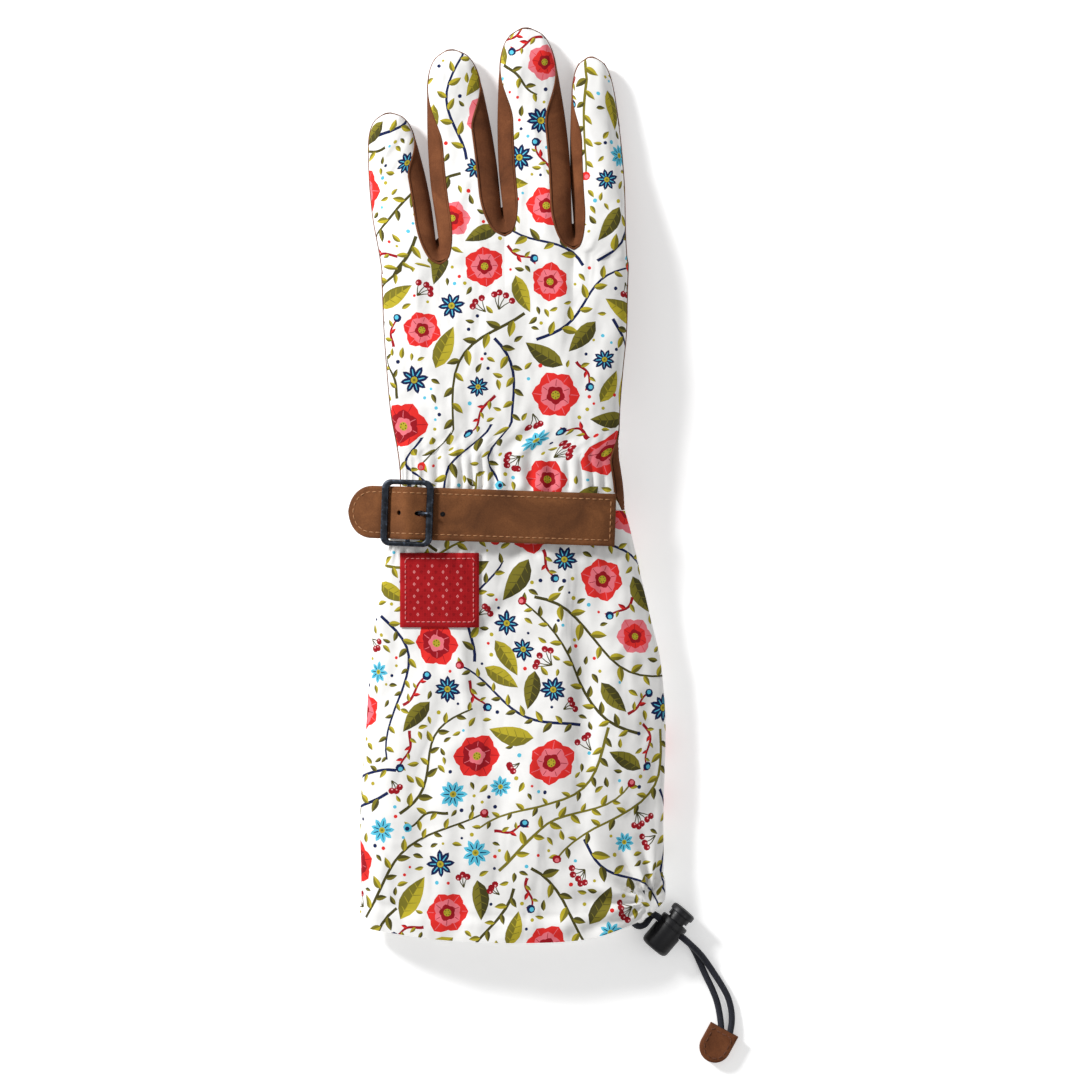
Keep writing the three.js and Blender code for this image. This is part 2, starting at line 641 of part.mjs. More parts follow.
// The thumb's direction at its root, and the axis that its sections turn about: the top of the hole.
const thumbAxis = new THREE.Vector2(THUMB_LEAN, 1).normalize();
const thumbPivot = new THREE.Vector2(THUMB_HOLE.x, THUMB_HOLE.y).addScaledVector(
  thumbAxis,
  THUMB_HOLE.half_length + THUMB_BEND,
);
const FOLD_STEPS = 6;
const THUMB_COLUMNS = 8;
const THUMB_ALONG = [0.2, 0.45, 0.67, 0.83, 0.93, 0.98, 1];

// A section in the fold, at a share of its quarter turn from level to upright.
function foldPoint(share, angle, inset) {
  const turn = (share ** 1.3 * Math.PI) / 2;
  const half = THUMB_HEIGHT / 2;
  const depth = half / Math.hypot(Math.sin(turn), (half / THUMB_HOLE.half_length) * Math.cos(turn));
  const width = THUMB_HALF_WIDTH * THUMB_SECTIONS[0].width;
  const reach = mix(THUMB_HOLE.half_width, width, smooth(share)) - inset;
  const out = depth + THUMB_BEND - (depth - inset) * upOf(angle);
  const sideways = reach * acrossOf(angle);
  const point = new THREE.Vector3(
    thumbPivot.x - thumbAxis.x * out * Math.cos(turn) + thumbAxis.y * sideways,
    thumbPivot.y - thumbAxis.y * out * Math.cos(turn) - thumbAxis.x * sideways,
    THUMB_HEIGHT + THUMB_BEND - out * Math.sin(turn),
  );
  const level = 1 - smooth(1.5 * share);
  point.z += level * (palmBottom(point.x, point.y) - PALM_HEIGHT);
  point.z = Math.max(point.z, inset);
  return point;
}

// A point of the thumb beyond the fold, where it lies flat on the floor.
function laidPoint(along, angle, inset) {
  const sidewaysAt = (share) => THUMB_LENGTH * read(THUMB_SECTIONS, 'along', 'sideways', share);
  const drift = (sidewaysAt(along + 0.02) - sidewaysAt(along - 0.02)) / (0.04 * THUMB_LENGTH);
  const ahead = thumbAxis.clone().add(new THREE.Vector2(thumbAxis.y, -thumbAxis.x).multiplyScalar(drift));
  ahead.normalize();
  const reach = Math.max(
    LEAST_REACH,
    THUMB_HALF_WIDTH * read(THUMB_SECTIONS, 'along', 'width', along) - inset,
  );
  const half = (THUMB_HEIGHT / 2) * read(THUMB_SECTIONS, 'along', 'thick', along);
  const rise = Math.max(LEAST_RISE, half - inset);
  const forwards = THUMB_LENGTH * along - inset * smooth((along - 0.85) / 0.15);
  const sideways = reach * acrossOf(angle);
  return new THREE.Vector3(
    thumbPivot.x + thumbAxis.x * forwards + thumbAxis.y * sidewaysAt(along) + ahead.y * sideways,
    thumbPivot.y + thumbAxis.y * forwards - thumbAxis.x * sidewaysAt(along) - ahead.x * sideways,
    Math.max(half + THUMB_TIP_LIFT * (THUMB_HEIGHT / 2 - half) + rise * upOf(angle), inset),
  );
}

// Height of the palm's outer face over the floor at a place in the plan.
function palmBottom(x, y) {
  const s = bodyAt(y);
  const across = (2 * x - s.left - s.right) / (s.right - s.left);
  return s.seam - s.down * upOf(angleOf(Math.max(-0.98, Math.min(0.98, across))));
}

// The thumb's leather front faces the palm, and its cloth back the floor. At the root the leather
// reaches further round on the little finger's side.
function thumbSheet(side, wall) {
  const rows = FOLD_STEPS + THUMB_ALONG.length;
  const point = (row, column, inner) => {
    const inset = inner ? wall : 0;
    const step = Math.round(row * rows);
    const folding = step <= FOLD_STEPS;
    const along = folding ? 0 : THUMB_ALONG[step - FOLD_STEPS - 1];
    const root = folding ? 1 - smooth(step / FOLD_STEPS - 0.3) : 0.22 * (1 - along);
    const tip = smooth(5 * (1 - along));
    const seam = seamAngle(Math.max(1.2, (THUMB_HEIGHT / 2) * tip));
    const left = Math.PI + (THUMB_FRONT_REACH + THUMB_GUSSET_REACH * root) * tip;
    const right = -THUMB_FRONT_REACH * tip;
    const angle =
      side > 0
        ? mix(left - seam, right + seam, column)
        : mix(left + seam, 2 * Math.PI + right - seam, column);
    return folding ? foldPoint(step / FOLD_STEPS, angle, inset) : laidPoint(along, angle, inset);
  };
  return gridSheet(rows, THUMB_COLUMNS, point, side);
}

// The second layer of leather under the forefinger's tip, over the palm's own.
function tipPatch() {
  const finger = FINGERS[FINGERS.length - 1];
  const stops = FINGER_ALONG.filter((along) => along >= TIP_PATCH_START && along < 1);
  const rows = stops.length - 1;
  const columns = FINGER_COLUMNS - 2;
  const point = (row, column, inner) => {
    const across = -Math.cos((Math.PI * (column * columns + 1)) / FINGER_COLUMNS);
    const outset = inner ? SEAM_GAP : SEAM_GAP + TIP_PATCH;
    return fingerPoint(finger, stops[Math.round(row * rows)], across, -1, -outset);
  };
  return gridSheet(rows, columns, point, -1);
}

// Height of the back's outer face at a place in the plan.
function backTop(x, y) {
  const s = bodyAt(y);
  const across = (2 * x - s.left - s.right) / (s.right - s.left);
  const angle = angleOf(Math.max(-1, Math.min(1, across)));
  return bodyPoint(y, angle, 0).z;
}

// The strap lies on the tops of the gathers.
const STRAP_REST = GATHER_DEPTH + SEAM_GAP;
function strapBed(x, y) {
  const heights = [-0.5, 0, 0.5].map((share) => {
    const s = bodyAt(y + share * STRAP_WIDTH);
    const across = (2 * x - s.left - s.right) / (s.right - s.left);
    return s.seam + s.up * upOf(angleOf(Math.max(-0.99, Math.min(0.99, across))));
  });
  return Math.max(...heights) + STRAP_REST;
}

// The buckle's frame of reference: its middle, its tilt and the strap's slope.
const BUCKLE_CLEARANCE = CENTRE_BAR_DROP + CENTRE_BAR_RADIUS + SEAM_GAP + HOLDER;
const buckleMatrix = new THREE.Matrix4()
  .makeTranslation(
    BUCKLE_X,
    STRAP_Y + STRAP_SLOPE * BUCKLE_X,
    strapBed(BUCKLE_X, STRAP_Y) + BUCKLE_CLEARANCE,
  )
  .multiply(new THREE.Matrix4().makeRotationZ(Math.atan(STRAP_SLOPE)))
  .multiply(new THREE.Matrix4().makeRotationY(-BUCKLE_TILT));

// The strap's middle line from its sewn end over the wrist, under, over and under the buckle's bars.
const BAR_X = (BUCKLE_LENGTH - BUCKLE_BAR) / 2;
const UNDER_BAR = -(BUCKLE_PLATE / 2 + STRAP_EASE + STRAP / 2);
const OVER_CENTRE = CENTRE_BAR_RADIUS + SEAM_GAP + HOLDER + STRAP_EASE + STRAP / 2 - CENTRE_BAR_DROP;

function strapCurve() {
  const points = [];
  const flat = 6;
  for (let i = 0; i <= flat; i += 1) {
    const x = mix(STRAP_END_X, BUCKLE_X + BUCKLE_LENGTH, i / flat);
    const y = STRAP_Y + STRAP_SLOPE * x;
    points.push(new THREE.Vector3(x, y, strapBed(x, y) + STRAP / 2));
  }
  const woven = [
    [BAR_X + 2.5, UNDER_BAR],
    [BAR_X, UNDER_BAR - 0.1],
    [BAR_X / 2, mix(UNDER_BAR, OVER_CENTRE, 0.55)],
    [0, OVER_CENTRE],
    [-BAR_X / 2, mix(UNDER_BAR, OVER_CENTRE, 0.55)],
    [-BAR_X, UNDER_BAR - 0.1],
    [-BAR_X - 3, UNDER_BAR + 0.1],
    [-BUCKLE_LENGTH / 2 - STRAP_TAB * 0.55, UNDER_BAR - 0.9],
    [-BUCKLE_LENGTH / 2 - STRAP_TAB, UNDER_BAR - 2.6],
  ];
  for (const [x, z] of woven) points.push(new THREE.Vector3(x, 0, z).applyMatrix4(buckleMatrix));
  return new THREE.CatmullRomCurve3(points, false, 'centripetal');
}

function strapGeometry() {
  const curve = strapCurve();
  const length = curve.getLength();
  const across = new THREE.Vector3(-STRAP_SLOPE, 1, 0).normalize();
  const half = STRAP_WIDTH / 2;
  const rows = 32;
  const point = (row, column, inner) => {
    const at = length * (1 - (1 - row) ** ROW_CROWDING);
    const place = curve.getPointAt(Math.min(1, at / length));
    const forward = curve.getTangentAt(Math.min(1, at / length));
    const normal = new THREE.Vector3().crossVectors(across, forward).negate().normalize();
    const fromEnd = Math.max(0, length - at);
    const width = fromEnd < half ? Math.sqrt(Math.max(0.004, 1 - (1 - fromEnd / half) ** 2)) : 1;
    return place
      .addScaledVector(across, half * width * (1 - 2 * column))
      .addScaledVector(normal, (inner ? 0.5 : -0.5) * STRAP);
  };
  return gridSheet(rows, 2, point, -1);
}

// The holes along the strap, and the slot that the prong goes up through.
function strapHoles() {
  const holes = [-1, 1].map((side) => {
    const x = PRONG_PLACE + side * HOLE_PITCH;
    return rod(new THREE.Vector3(x, 0, -9), new THREE.Vector3(x, 0, 9), HOLE_RADIUS, 8);
  });
  const slot = new THREE.BoxGeometry(5.4, 2 * (PRONG_RADIUS + STRAP_EASE), 9);
  slot.translate(PRONG_PLACE, 0, 0);
  return [...holes, slot].map((tool) => tool.applyMatrix4(buckleMatrix));
}

function roundedRectangle(width, height, radius, path) {
  const [x, y] = [width / 2 - radius, height / 2 - radius];
  path.absarc(x, y, radius, 0, Math.PI / 2);
  path.absarc(-x, y, radius, Math.PI / 2, Math.PI);
  path.absarc(-x, -y, radius, Math.PI, 1.5 * Math.PI);
  path.absarc(x, -y, radius, 1.5 * Math.PI, 2 * Math.PI);
  return path;
}

// The buckle's frame: a rounded ring with a bar across its middle, set lower than its sides.
function buckleGeometry() {
  const shape = roundedRectangle(BUCKLE_LENGTH, BUCKLE_WIDTH, 4, new THREE.Shape());
  const window = roundedRectangle(
    BUCKLE_LENGTH - 2 * BUCKLE_BAR,
    BUCKLE_WIDTH - 1.4 * BUCKLE_BAR,
    2,
    new THREE.Path(),
  );
  shape.holes.push(window);
  const bevel = 0.5;
  const ring = new THREE.ExtrudeGeometry(shape, {
    depth: BUCKLE_PLATE - 2 * bevel,
    bevelThickness: bevel,
    bevelSize: bevel,
    bevelOffset: -bevel,
    bevelSegments: 1,
    curveSegments: 2,
  });
  ring.translate(0, 0, -BUCKLE_PLATE / 2 + bevel);
  const span = BUCKLE_WIDTH / 2 - 0.35 * BUCKLE_BAR;
  const bar = rod(
    new THREE.Vector3(0, -span, -CENTRE_BAR_DROP),
    new THREE.Vector3(0, span, -CENTRE_BAR_DROP),
    CENTRE_BAR_RADIUS,
    10,
  );
  const posts = [-1, 1].map((side) =>
    rod(
      new THREE.Vector3(0, side * (span - 0.2), -CENTRE_BAR_DROP),
      new THREE.Vector3(0, side * (span - 0.2), 0),
      CENTRE_BAR_RADIUS,
      8,
    ),
  );
  return joined(ring, bar, ...posts).applyMatrix4(buckleMatrix);
}

// The prong: its eye turns round the centre bar, and its point lies on the frame's thumb side.
function prongGeometry() {
  const eyeRadius = CENTRE_BAR_RADIUS + SEAM_GAP;
  const wire = 0.6 * PRONG_RADIUS;
  const eye = new THREE.TorusGeometry(eyeRadius + wire, wire, 6, 10);
  eye.rotateX(Math.PI / 2).translate(0, 0, -CENTRE_BAR_DROP);
  const top = BUCKLE_PLATE / 2 + PRONG_RADIUS + 0.1;
  const curve = new THREE.CatmullRomCurve3([
    new THREE.Vector3(eyeRadius + 0.3, 0, -CENTRE_BAR_DROP + 0.2),
    new THREE.Vector3(PRONG_PLACE - 1.6, 0, -1.1),
    new THREE.Vector3(PRONG_PLACE + 0.8, 0, 0.9),
    new THREE.Vector3(BAR_X * 0.9, 0, top),
    new THREE.Vector3(BAR_X + 1.6, 0, top + 0.15),
  ]);
  const section = new THREE.Shape().absarc(0, 0, PRONG_RADIUS, 0, 2 * Math.PI);
  const tongue = new THREE.ExtrudeGeometry(section, { steps: 7, curveSegments: 3, extrudePath: curve });
  return joined(eye, tongue).applyMatrix4(buckleMatrix);
}

// The leather that holds the buckle: a loop round the centre bar, and a band down to the side seam.
function holderGeometry() {
  const bar = new THREE.Vector3(0, 0, -CENTRE_BAR_DROP).applyMatrix4(buckleMatrix);
  const inner = CENTRE_BAR_RADIUS + SEAM_GAP;
  const outer = inner + HOLDER;
  const shape = new THREE.Shape().absarc(0, 0, outer, 0, 2 * Math.PI);
  shape.holes.push(new THREE.Path().absarc(0, 0, inner, 0, 2 * Math.PI));
  const loop = new THREE.ExtrudeGeometry(shape, {
    depth: HOLDER_WIDTH,
    bevelEnabled: false,
    curveSegments: 6,
  });
  loop.rotateX(Math.PI / 2).translate(0, HOLDER_WIDTH / 2, 0).rotateZ(Math.atan(STRAP_SLOPE));
  loop.translate(bar.x, bar.y, bar.z);
  const point = (row, column, isInner) => {
    const y = bar.y + HOLDER_WIDTH * (row - 0.5);
    const outset = SEAM_GAP + GATHER_DEPTH;
    const s = bodyAt(y);
    const start = angleOf((2 * (bar.x + CENTRE_BAR_RADIUS) - s.left - s.right) / (s.right - s.left));
    const place = bodyPoint(y, mix(start, Math.PI, column), 0, outset + (isInner ? 0 : HOLDER));
    place.z += (bar.z - outer - bodyPoint(y, start, 0, outset).z) * (1 - column) ** 2;
    return place;
  };
  const band = gridSheet(3, 5, point, -1);
  const room = 2 * (PRONG_RADIUS + STRAP_EASE);
  const slot = new THREE.BoxGeometry(2.4 * outer, room, 3 * outer);
  slot.translate(bar.x, bar.y, bar.z);
  return cut(joined(loop, band), slot);
}

function labelGeometry() {
  const point = (row, column, inner) => {
    const x = LABEL.x + LABEL.width * (column - 0.5);
    const y = LABEL.y + LABEL.height * (row - 0.5);
    const height = 2 * SEAM_GAP + (inner ? 0 : LABEL.thickness);
    return new THREE.Vector3(x, y, backTop(x, y) + height);
  };
  return gridSheet(6, 6, point, 1);
}

// The lock lies on the floor. Its own X runs from the closed end to the plunger, and the cords cross it.
const lockMatrix = new THREE.Matrix4()
  .makeTranslation(LOCK.x, LOCK.y, BARREL_RADIUS)
  .multiply(new THREE.Matrix4().makeRotationZ(LOCK.turn));
const STRAND_OFFSET = CORD_RADIUS + CORD_CLEARANCE / 2;
const HOLE_HALF_HEIGHT = STRAND_OFFSET + CORD_RADIUS + CORD_CLEARANCE;
const HOLE_HALF_WIDTH = CORD_RADIUS + CORD_CLEARANCE;

function turnedSolid(profile, sides) {
  const points = profile.map(([radius, x]) => new THREE.Vector2(radius, x));
  return new THREE.LatheGeometry(points, sides).rotateZ(-Math.PI / 2);
}

function cordSlot(low, high) {
  const slot = new THREE.BoxGeometry(high - low, 4 * BARREL_RADIUS, 2 * HOLE_HALF_HEIGHT);
  return slot.translate((low + high) / 2, 0, 0);
}

function barrelGeometry() {
  const mouth = BARREL_LIP;
  const end = mouth - BARREL_LENGTH;
  const body = turnedSolid(
    [
      [0, end],
      [BARREL_RADIUS - 1.6, end],
      [BARREL_RADIUS, end + 1.6],
      [BARREL_RADIUS, mouth - 0.6],
      [BARREL_RADIUS - 0.5, mouth],
      [BARREL_BORE, mouth],
      [BARREL_BORE, end + BARREL_FLOOR],
      [0, end + BARREL_FLOOR],
    ],
    16,
  );
  return cut(body, cordSlot(-HOLE_HALF_WIDTH, HOLE_HALF_WIDTH)).applyMatrix4(lockMatrix);
}

function plungerGeometry() {
  const stemRadius = BARREL_BORE - PLUNGER_CLEARANCE;
  const shoulder = BARREL_LIP + PLUNGER_TRAVEL + PLUNGER_MOUTH_GAP;
  const foot = BARREL_LIP - BARREL_LENGTH + BARREL_FLOOR + PLUNGER_TRAVEL + PLUNGER_FLOOR_GAP;
  const stem = turnedSolid(
    [
      [0, foot],
      [stemRadius, foot],
      [stemRadius, shoulder],
      [PLUNGER_HEAD_RADIUS, shoulder],
      [PLUNGER_HEAD_RADIUS, shoulder + PLUNGER_HEAD - 0.8],
      [PLUNGER_HEAD_RADIUS - 0.8, shoulder + PLUNGER_HEAD],
      [0, shoulder + PLUNGER_HEAD],
    ],
    16,
  );
  const slot = cordSlot(-HOLE_HALF_WIDTH, HOLE_HALF_WIDTH + PLUNGER_TRAVEL);
  return cut(stem, slot).applyMatrix4(lockMatrix);
}

// The two strands: out of the hem's casing, through the lock and along the floor to the end tab. The
// points are places in the plan and heights, chosen by hand.
const CORD_ROUTES = {
  drawcord_lower: [
    [51.6, -168.6, 15.6],
    [52.5, -172.6, 15.4],
    [53.9, -176.6, 14.6],
    [56.4, -179, 12],
    [59.4, -178.6, 8.6],
    [62.4, -175.2, 5.6],
    [64.4, -174.9, 4.95],
    [67.4, -177.4, 4.95],
    [70.5, -180, 4.95],
    [73.6, -182.6, 4.95],
    [76.6, -185.1, 4.95],
    [79.2, -187.6, 4],
    [81.4, -191.2, 2.2],
    [83.6, -196, 1.4],
    [86, -201.4, 1.4],
    [88.6, -206.8, 1.4],
    [90.8, -212.6, 1.4],
    [92, -218.4, 1.6],
    [92.6, -224, 2.3],
    [92.4, -230, 2.3],
  ],
  drawcord_upper: [
    [58.2, -163.4, 14.6],
    [58.9, -167.4, 14.2],
    [60.2, -171.6, 13],
    [61.8, -173, 10.6],
    [62.9, -173.7, 8.6],
    [64.4, -174.9, 8.05],
    [67.4, -177.4, 8.05],
    [70.5, -180, 8.05],
    [73.6, -182.6, 8.05],
    [76.6, -185.1, 8.05],
    [79.8, -187.9, 7.2],
    [83.2, -191.4, 4.6],
    [86.4, -195.6, 2.2],
    [89.6, -200.4, 1.4],
    [92.8, -205.4, 1.4],
    [95.6, -210.8, 1.4],
    [97, -216.4, 1.4],
    [97.2, -221, 1.8],
    [96.6, -225, 2.3],
    [95.8, -230, 2.3],
  ],
};

const cordCurve = (name) =>
  new THREE.CatmullRomCurve3(
    CORD_ROUTES[name].map(([x, y, z]) => new THREE.Vector3(x, y, z)),
    false,
    'centripetal',
  );

function tube(curve, radius, steps) {
  const section = new THREE.Shape().absarc(0, 0, radius, 0, 2 * Math.PI);
  return new THREE.ExtrudeGeometry(section, { steps, curveSegments: 4, extrudePath: curve });
}

// Room for both strands where they go into the casing (from the first points) or the tab (the last).
function cordRoom(first, last) {
  return Object.keys(CORD_ROUTES).map((name) => {
    const curve = cordCurve(name);
    const points = Array.from({ length: 6 }, (_, i) => curve.getPointAt(mix(first, last, i / 5)));
    const beyond = points[0].clone().sub(points[1]).normalize().multiplyScalar(CORD_CLEARANCE);
    const room = new THREE.CatmullRomCurve3([points[0].clone().add(beyond), ...points]);
    return tube(room, CORD_RADIUS + CORD_CLEARANCE, 4);
  });
}

// The leather tab that is sewn over the strands' ends.
function tabGeometry() {
  const half = TAB_WIDTH / 2;
  const shape = new THREE.Shape();
  shape.moveTo(-half, 0);
  shape.lineTo(-half, -TAB_LENGTH + half);
  shape.absarc(0, -TAB_LENGTH + half, half, Math.PI, 2 * Math.PI);
  shape.lineTo(half, 0);
  const bevel = 0.8;
  const tab = new THREE.ExtrudeGeometry(shape, {
    depth: TAB_THICKNESS - 2 * bevel,
    bevelThickness: bevel,
    bevelSize: bevel,
    bevelOffset: -bevel,
    bevelSegments: 1,
    curveSegments: 5,
  });
  const ends = Object.keys(CORD_ROUTES).map((name) => cordCurve(name).getPointAt(1));
  const middle = ends[0].add(ends[1]).multiplyScalar(0.5);
  tab.rotateZ(TAB_TURN).translate(middle.x + TAB_SHIFT, middle.y + TAB_LAP, bevel);
  return cut(tab, ...cordRoom(1, 0.9));
}

const gauntlet = new THREE.Group();
gauntlet.add(
  named('cuff_back', cut(cuffPanel(1), ...cordRoom(0, 0.14)), colours.cloth),
  named('cuff_under', cuffPanel(-1), colours.cloth),
  named('hand_back', handSheet(1, CLOTH), colours.cloth),
);

// The hole in the palm, with the outline of the thumb's root
const HOLE_SIDES = 40;
const holeOutline = Array.from({ length: HOLE_SIDES }, (_, i) => {
  const angle = (2 * Math.PI * i) / HOLE_SIDES;
  return new THREE.Vector2(
    (THUMB_HOLE.half_width + THUMB_HOLE_EASE) * acrossOf(angle),
    (THUMB_HOLE.half_length + THUMB_HOLE_EASE) * upOf(angle),
  );
});
const holeTool = new THREE.ExtrudeGeometry(new THREE.Shape(holeOutline), {
  depth: 2 * PALM_HEIGHT,
  bevelEnabled: false,
});
holeTool.rotateZ(-Math.atan(THUMB_LEAN)).translate(THUMB_HOLE.x, THUMB_HOLE.y, 0);
gauntlet.add(
  named('palm', cut(handSheet(-1, LEATHER), holeTool), colours.leather),
  named('thumb_front', thumbSheet(1, LEATHER), colours.leather),
  named('thumb_back', thumbSheet(-1, CLOTH), colours.cloth),
  named('fore_tip_patch', tipPatch(), colours.leather),
);
FINGERS.slice(1).forEach((upper, i) => {
  const lower = FINGERS[i];
  gauntlet.add(named(`side_${lower.name}_${upper.name}`, sideStrip(lower, upper), colours.leather));
});
gauntlet.add(
  named('strap', cut(strapGeometry(), ...strapHoles()), colours.strap),
  named('buckle_frame', buckleGeometry(), colours.steel),
  named('buckle_prong', prongGeometry(), colours.steel),
  named('buckle_holder', holderGeometry(), colours.strap),
  named('label', labelGeometry(), colours.label),
);

const cordParts = new THREE.Group();
cordParts.add(
  named('lock_barrel', barrelGeometry(), colours.plastic),
  named('lock_plunger', plungerGeometry(), colours.plastic),
  named('cord_tab', tabGeometry(), colours.leather),
);
for (const name of Object.keys(CORD_ROUTES)) {
  cordParts.add(named(name, tube(cordCurve(name), CORD_RADIUS, 21), colours.cord));
}

// The origin is on the floor under the middle of the gauntlet, without the cord and what is on it.
const extent = new THREE.Box3().setFromObject(gauntlet, true);
const part = new THREE.Group();
part.add(gauntlet, cordParts);
part.position.set(
  -(extent.min.x + extent.max.x) / 2,
  -(extent.min.y + extent.max.y) / 2,
  -extent.min.z,
);

export default part;
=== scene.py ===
# %% [markdown]
# # A rose pruning gauntlet
# The left-hand glove of a pair lies palm down, with its thumb folded under the palm. Printed cloth makes
# the back and the long cuff, suede the palm, the finger sides and the strap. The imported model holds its
# sizes and places; this lesson gives each piece its sewn form and its finish.

import math
import random
from collections import namedtuple
from types import SimpleNamespace

import bmesh
import bpy
import numpy as np
from mathutils import Matrix, Vector, noise
from mathutils.bvhtree import BVHTree
from mathutils.geometry import delaunay_2d_cdt


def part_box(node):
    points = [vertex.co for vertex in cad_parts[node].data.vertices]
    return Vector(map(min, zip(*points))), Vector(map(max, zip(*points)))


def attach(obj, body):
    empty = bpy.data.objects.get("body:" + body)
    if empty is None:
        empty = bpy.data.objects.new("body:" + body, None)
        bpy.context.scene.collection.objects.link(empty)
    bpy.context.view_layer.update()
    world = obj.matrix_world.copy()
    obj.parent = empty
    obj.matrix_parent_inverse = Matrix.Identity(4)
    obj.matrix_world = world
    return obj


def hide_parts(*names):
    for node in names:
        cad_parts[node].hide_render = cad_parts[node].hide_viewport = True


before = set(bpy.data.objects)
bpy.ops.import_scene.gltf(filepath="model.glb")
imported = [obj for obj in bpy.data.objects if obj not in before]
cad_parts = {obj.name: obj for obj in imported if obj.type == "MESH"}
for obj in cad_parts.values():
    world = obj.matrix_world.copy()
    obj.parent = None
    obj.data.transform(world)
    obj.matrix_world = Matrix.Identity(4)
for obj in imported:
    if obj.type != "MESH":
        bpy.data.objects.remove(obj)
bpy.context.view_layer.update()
print("nodes", sorted(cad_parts))

# %% [markdown]
# Lengths below are millimetres from the wrist seam, as a glove maker would measure them. The label's
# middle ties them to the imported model, whose metres start on the floor under the glove's middle.

# %% Units and the wrist seam's place
MM = 0.001
LABEL = SimpleNamespace(x=-28.9, y=-34.3, width=34.0, height=32.0)
label_low, label_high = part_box("label")
SEAM_PLACE = np.array([
    (label_low.x + label_high.x) / 2 / MM - LABEL.x,
    (label_low.y + label_high.y) / 2 / MM - LABEL.y,
    0.0,
])
print("wrist seam in the model's frame, mm", SEAM_PLACE.round(2))


def metres(points):
    """Points in the model's frame, from millimetres measured from the wrist seam."""
    return (np.asarray(points, float) + SEAM_PLACE) * MM


def in_scene(name, data):
    """A new object that the scene shows."""
    made = bpy.data.objects.new(name, data)
    bpy.context.scene.collection.objects.link(made)
    return made


# %% [markdown]
# The photograph looks straight down on a flat table. A long lens far away keeps the glove's sides upright,
# and the picture's width is set so that one of its pixels is 0.43 mm, as in the photograph.

# %% The camera
PIXEL = 0.43 * MM
PHOTO_PIXELS = 1080
CAMERA_HEIGHT = 2.2
VIEW_MIDDLE = (14.2 * MM, -24.2 * MM)
VIEW_LEVEL = 15 * MM  # height at which a pixel has its stated size

camera_data = bpy.data.cameras.new("camera")
camera_data.sensor_width = 36.0
camera_data.lens = camera_data.sensor_width * (CAMERA_HEIGHT - VIEW_LEVEL) / (PIXEL * PHOTO_PIXELS)
camera = in_scene("camera", camera_data)
camera.location = (*VIEW_MIDDLE, CAMERA_HEIGHT)
bpy.context.scene.camera = camera
print("lens", round(camera_data.lens, 1))

# %% [markdown]
# ## Colours
# Ink and leather colours are written as screen values, and turned into the light values that shaders use.

# %% From screen values to light
def light(red, green, blue):
    """A shader colour from screen values of 0 to 255."""
    share = np.array([red, green, blue]) / 255
    linear = np.where(share <= 0.04045, share / 12.92, ((share + 0.055) / 1.055) ** 2.4)
    return (*(float(v) for v in linear), 1.0)


INKS = {
    "ground": light(236, 235, 233),
    "reverse": light(226, 223, 218),
    "navy": light(24, 35, 76),
    "dark olive": light(72, 68, 32),
    "olive": light(120, 112, 38),
    "mustard": light(178, 163, 46),
    "red": light(220, 46, 42),
    "crimson": light(150, 22, 32),
    "pink": light(228, 116, 126),
    "pale pink": light(240, 168, 172),
    "sky": light(88, 188, 215),
    "thread red": light(168, 24, 30),
    "thread dark": light(138, 14, 22),
    "thread pale": light(222, 138, 138),
}

# %% [markdown]
# ## Shader groups
# Cloth, label and cord are woven, and the palm, strap and tab are napped hide, so each effect is a node
# group with its own sockets. A small helper adds a node and links what it is given.

# %% A helper for nodes
def add_node(tree, kind, inputs=None, **settings):
    """A node with its settings, its input values, and links where a value is another node's socket."""
    made = tree.nodes.new(kind)
    for key, value in settings.items():
        setattr(made, key, value)
    for key, value in (inputs or {}).items():
        if isinstance(value, bpy.types.NodeSocket):
            tree.links.new(value, made.inputs[key])
        else:
            made.inputs[key].default_value = value
    return made


def maths(tree, operation, first, second=0.5):
    """The output of a maths node."""
    return add_node(tree, "ShaderNodeMath", {0: first, 1: second}, operation=operation).outputs[0]


def new_group(name, inputs, outputs):
    """An empty shader group with named sockets: (name, type, default) in and (name, type) out."""
    tree = bpy.data.node_groups.new(name, "ShaderNodeTree")
    for label, kind, default in inputs:
        socket = tree.interface.new_socket(label, in_out="INPUT", socket_type="NodeSocket" + kind)
        if default is not None:
            socket.default_value = default
    for label, kind in outputs:
        tree.interface.new_socket(label, in_out="OUTPUT", socket_type="NodeSocket" + kind)
    return tree, tree.nodes.new("NodeGroupInput"), tree.nodes.new("NodeGroupOutput")
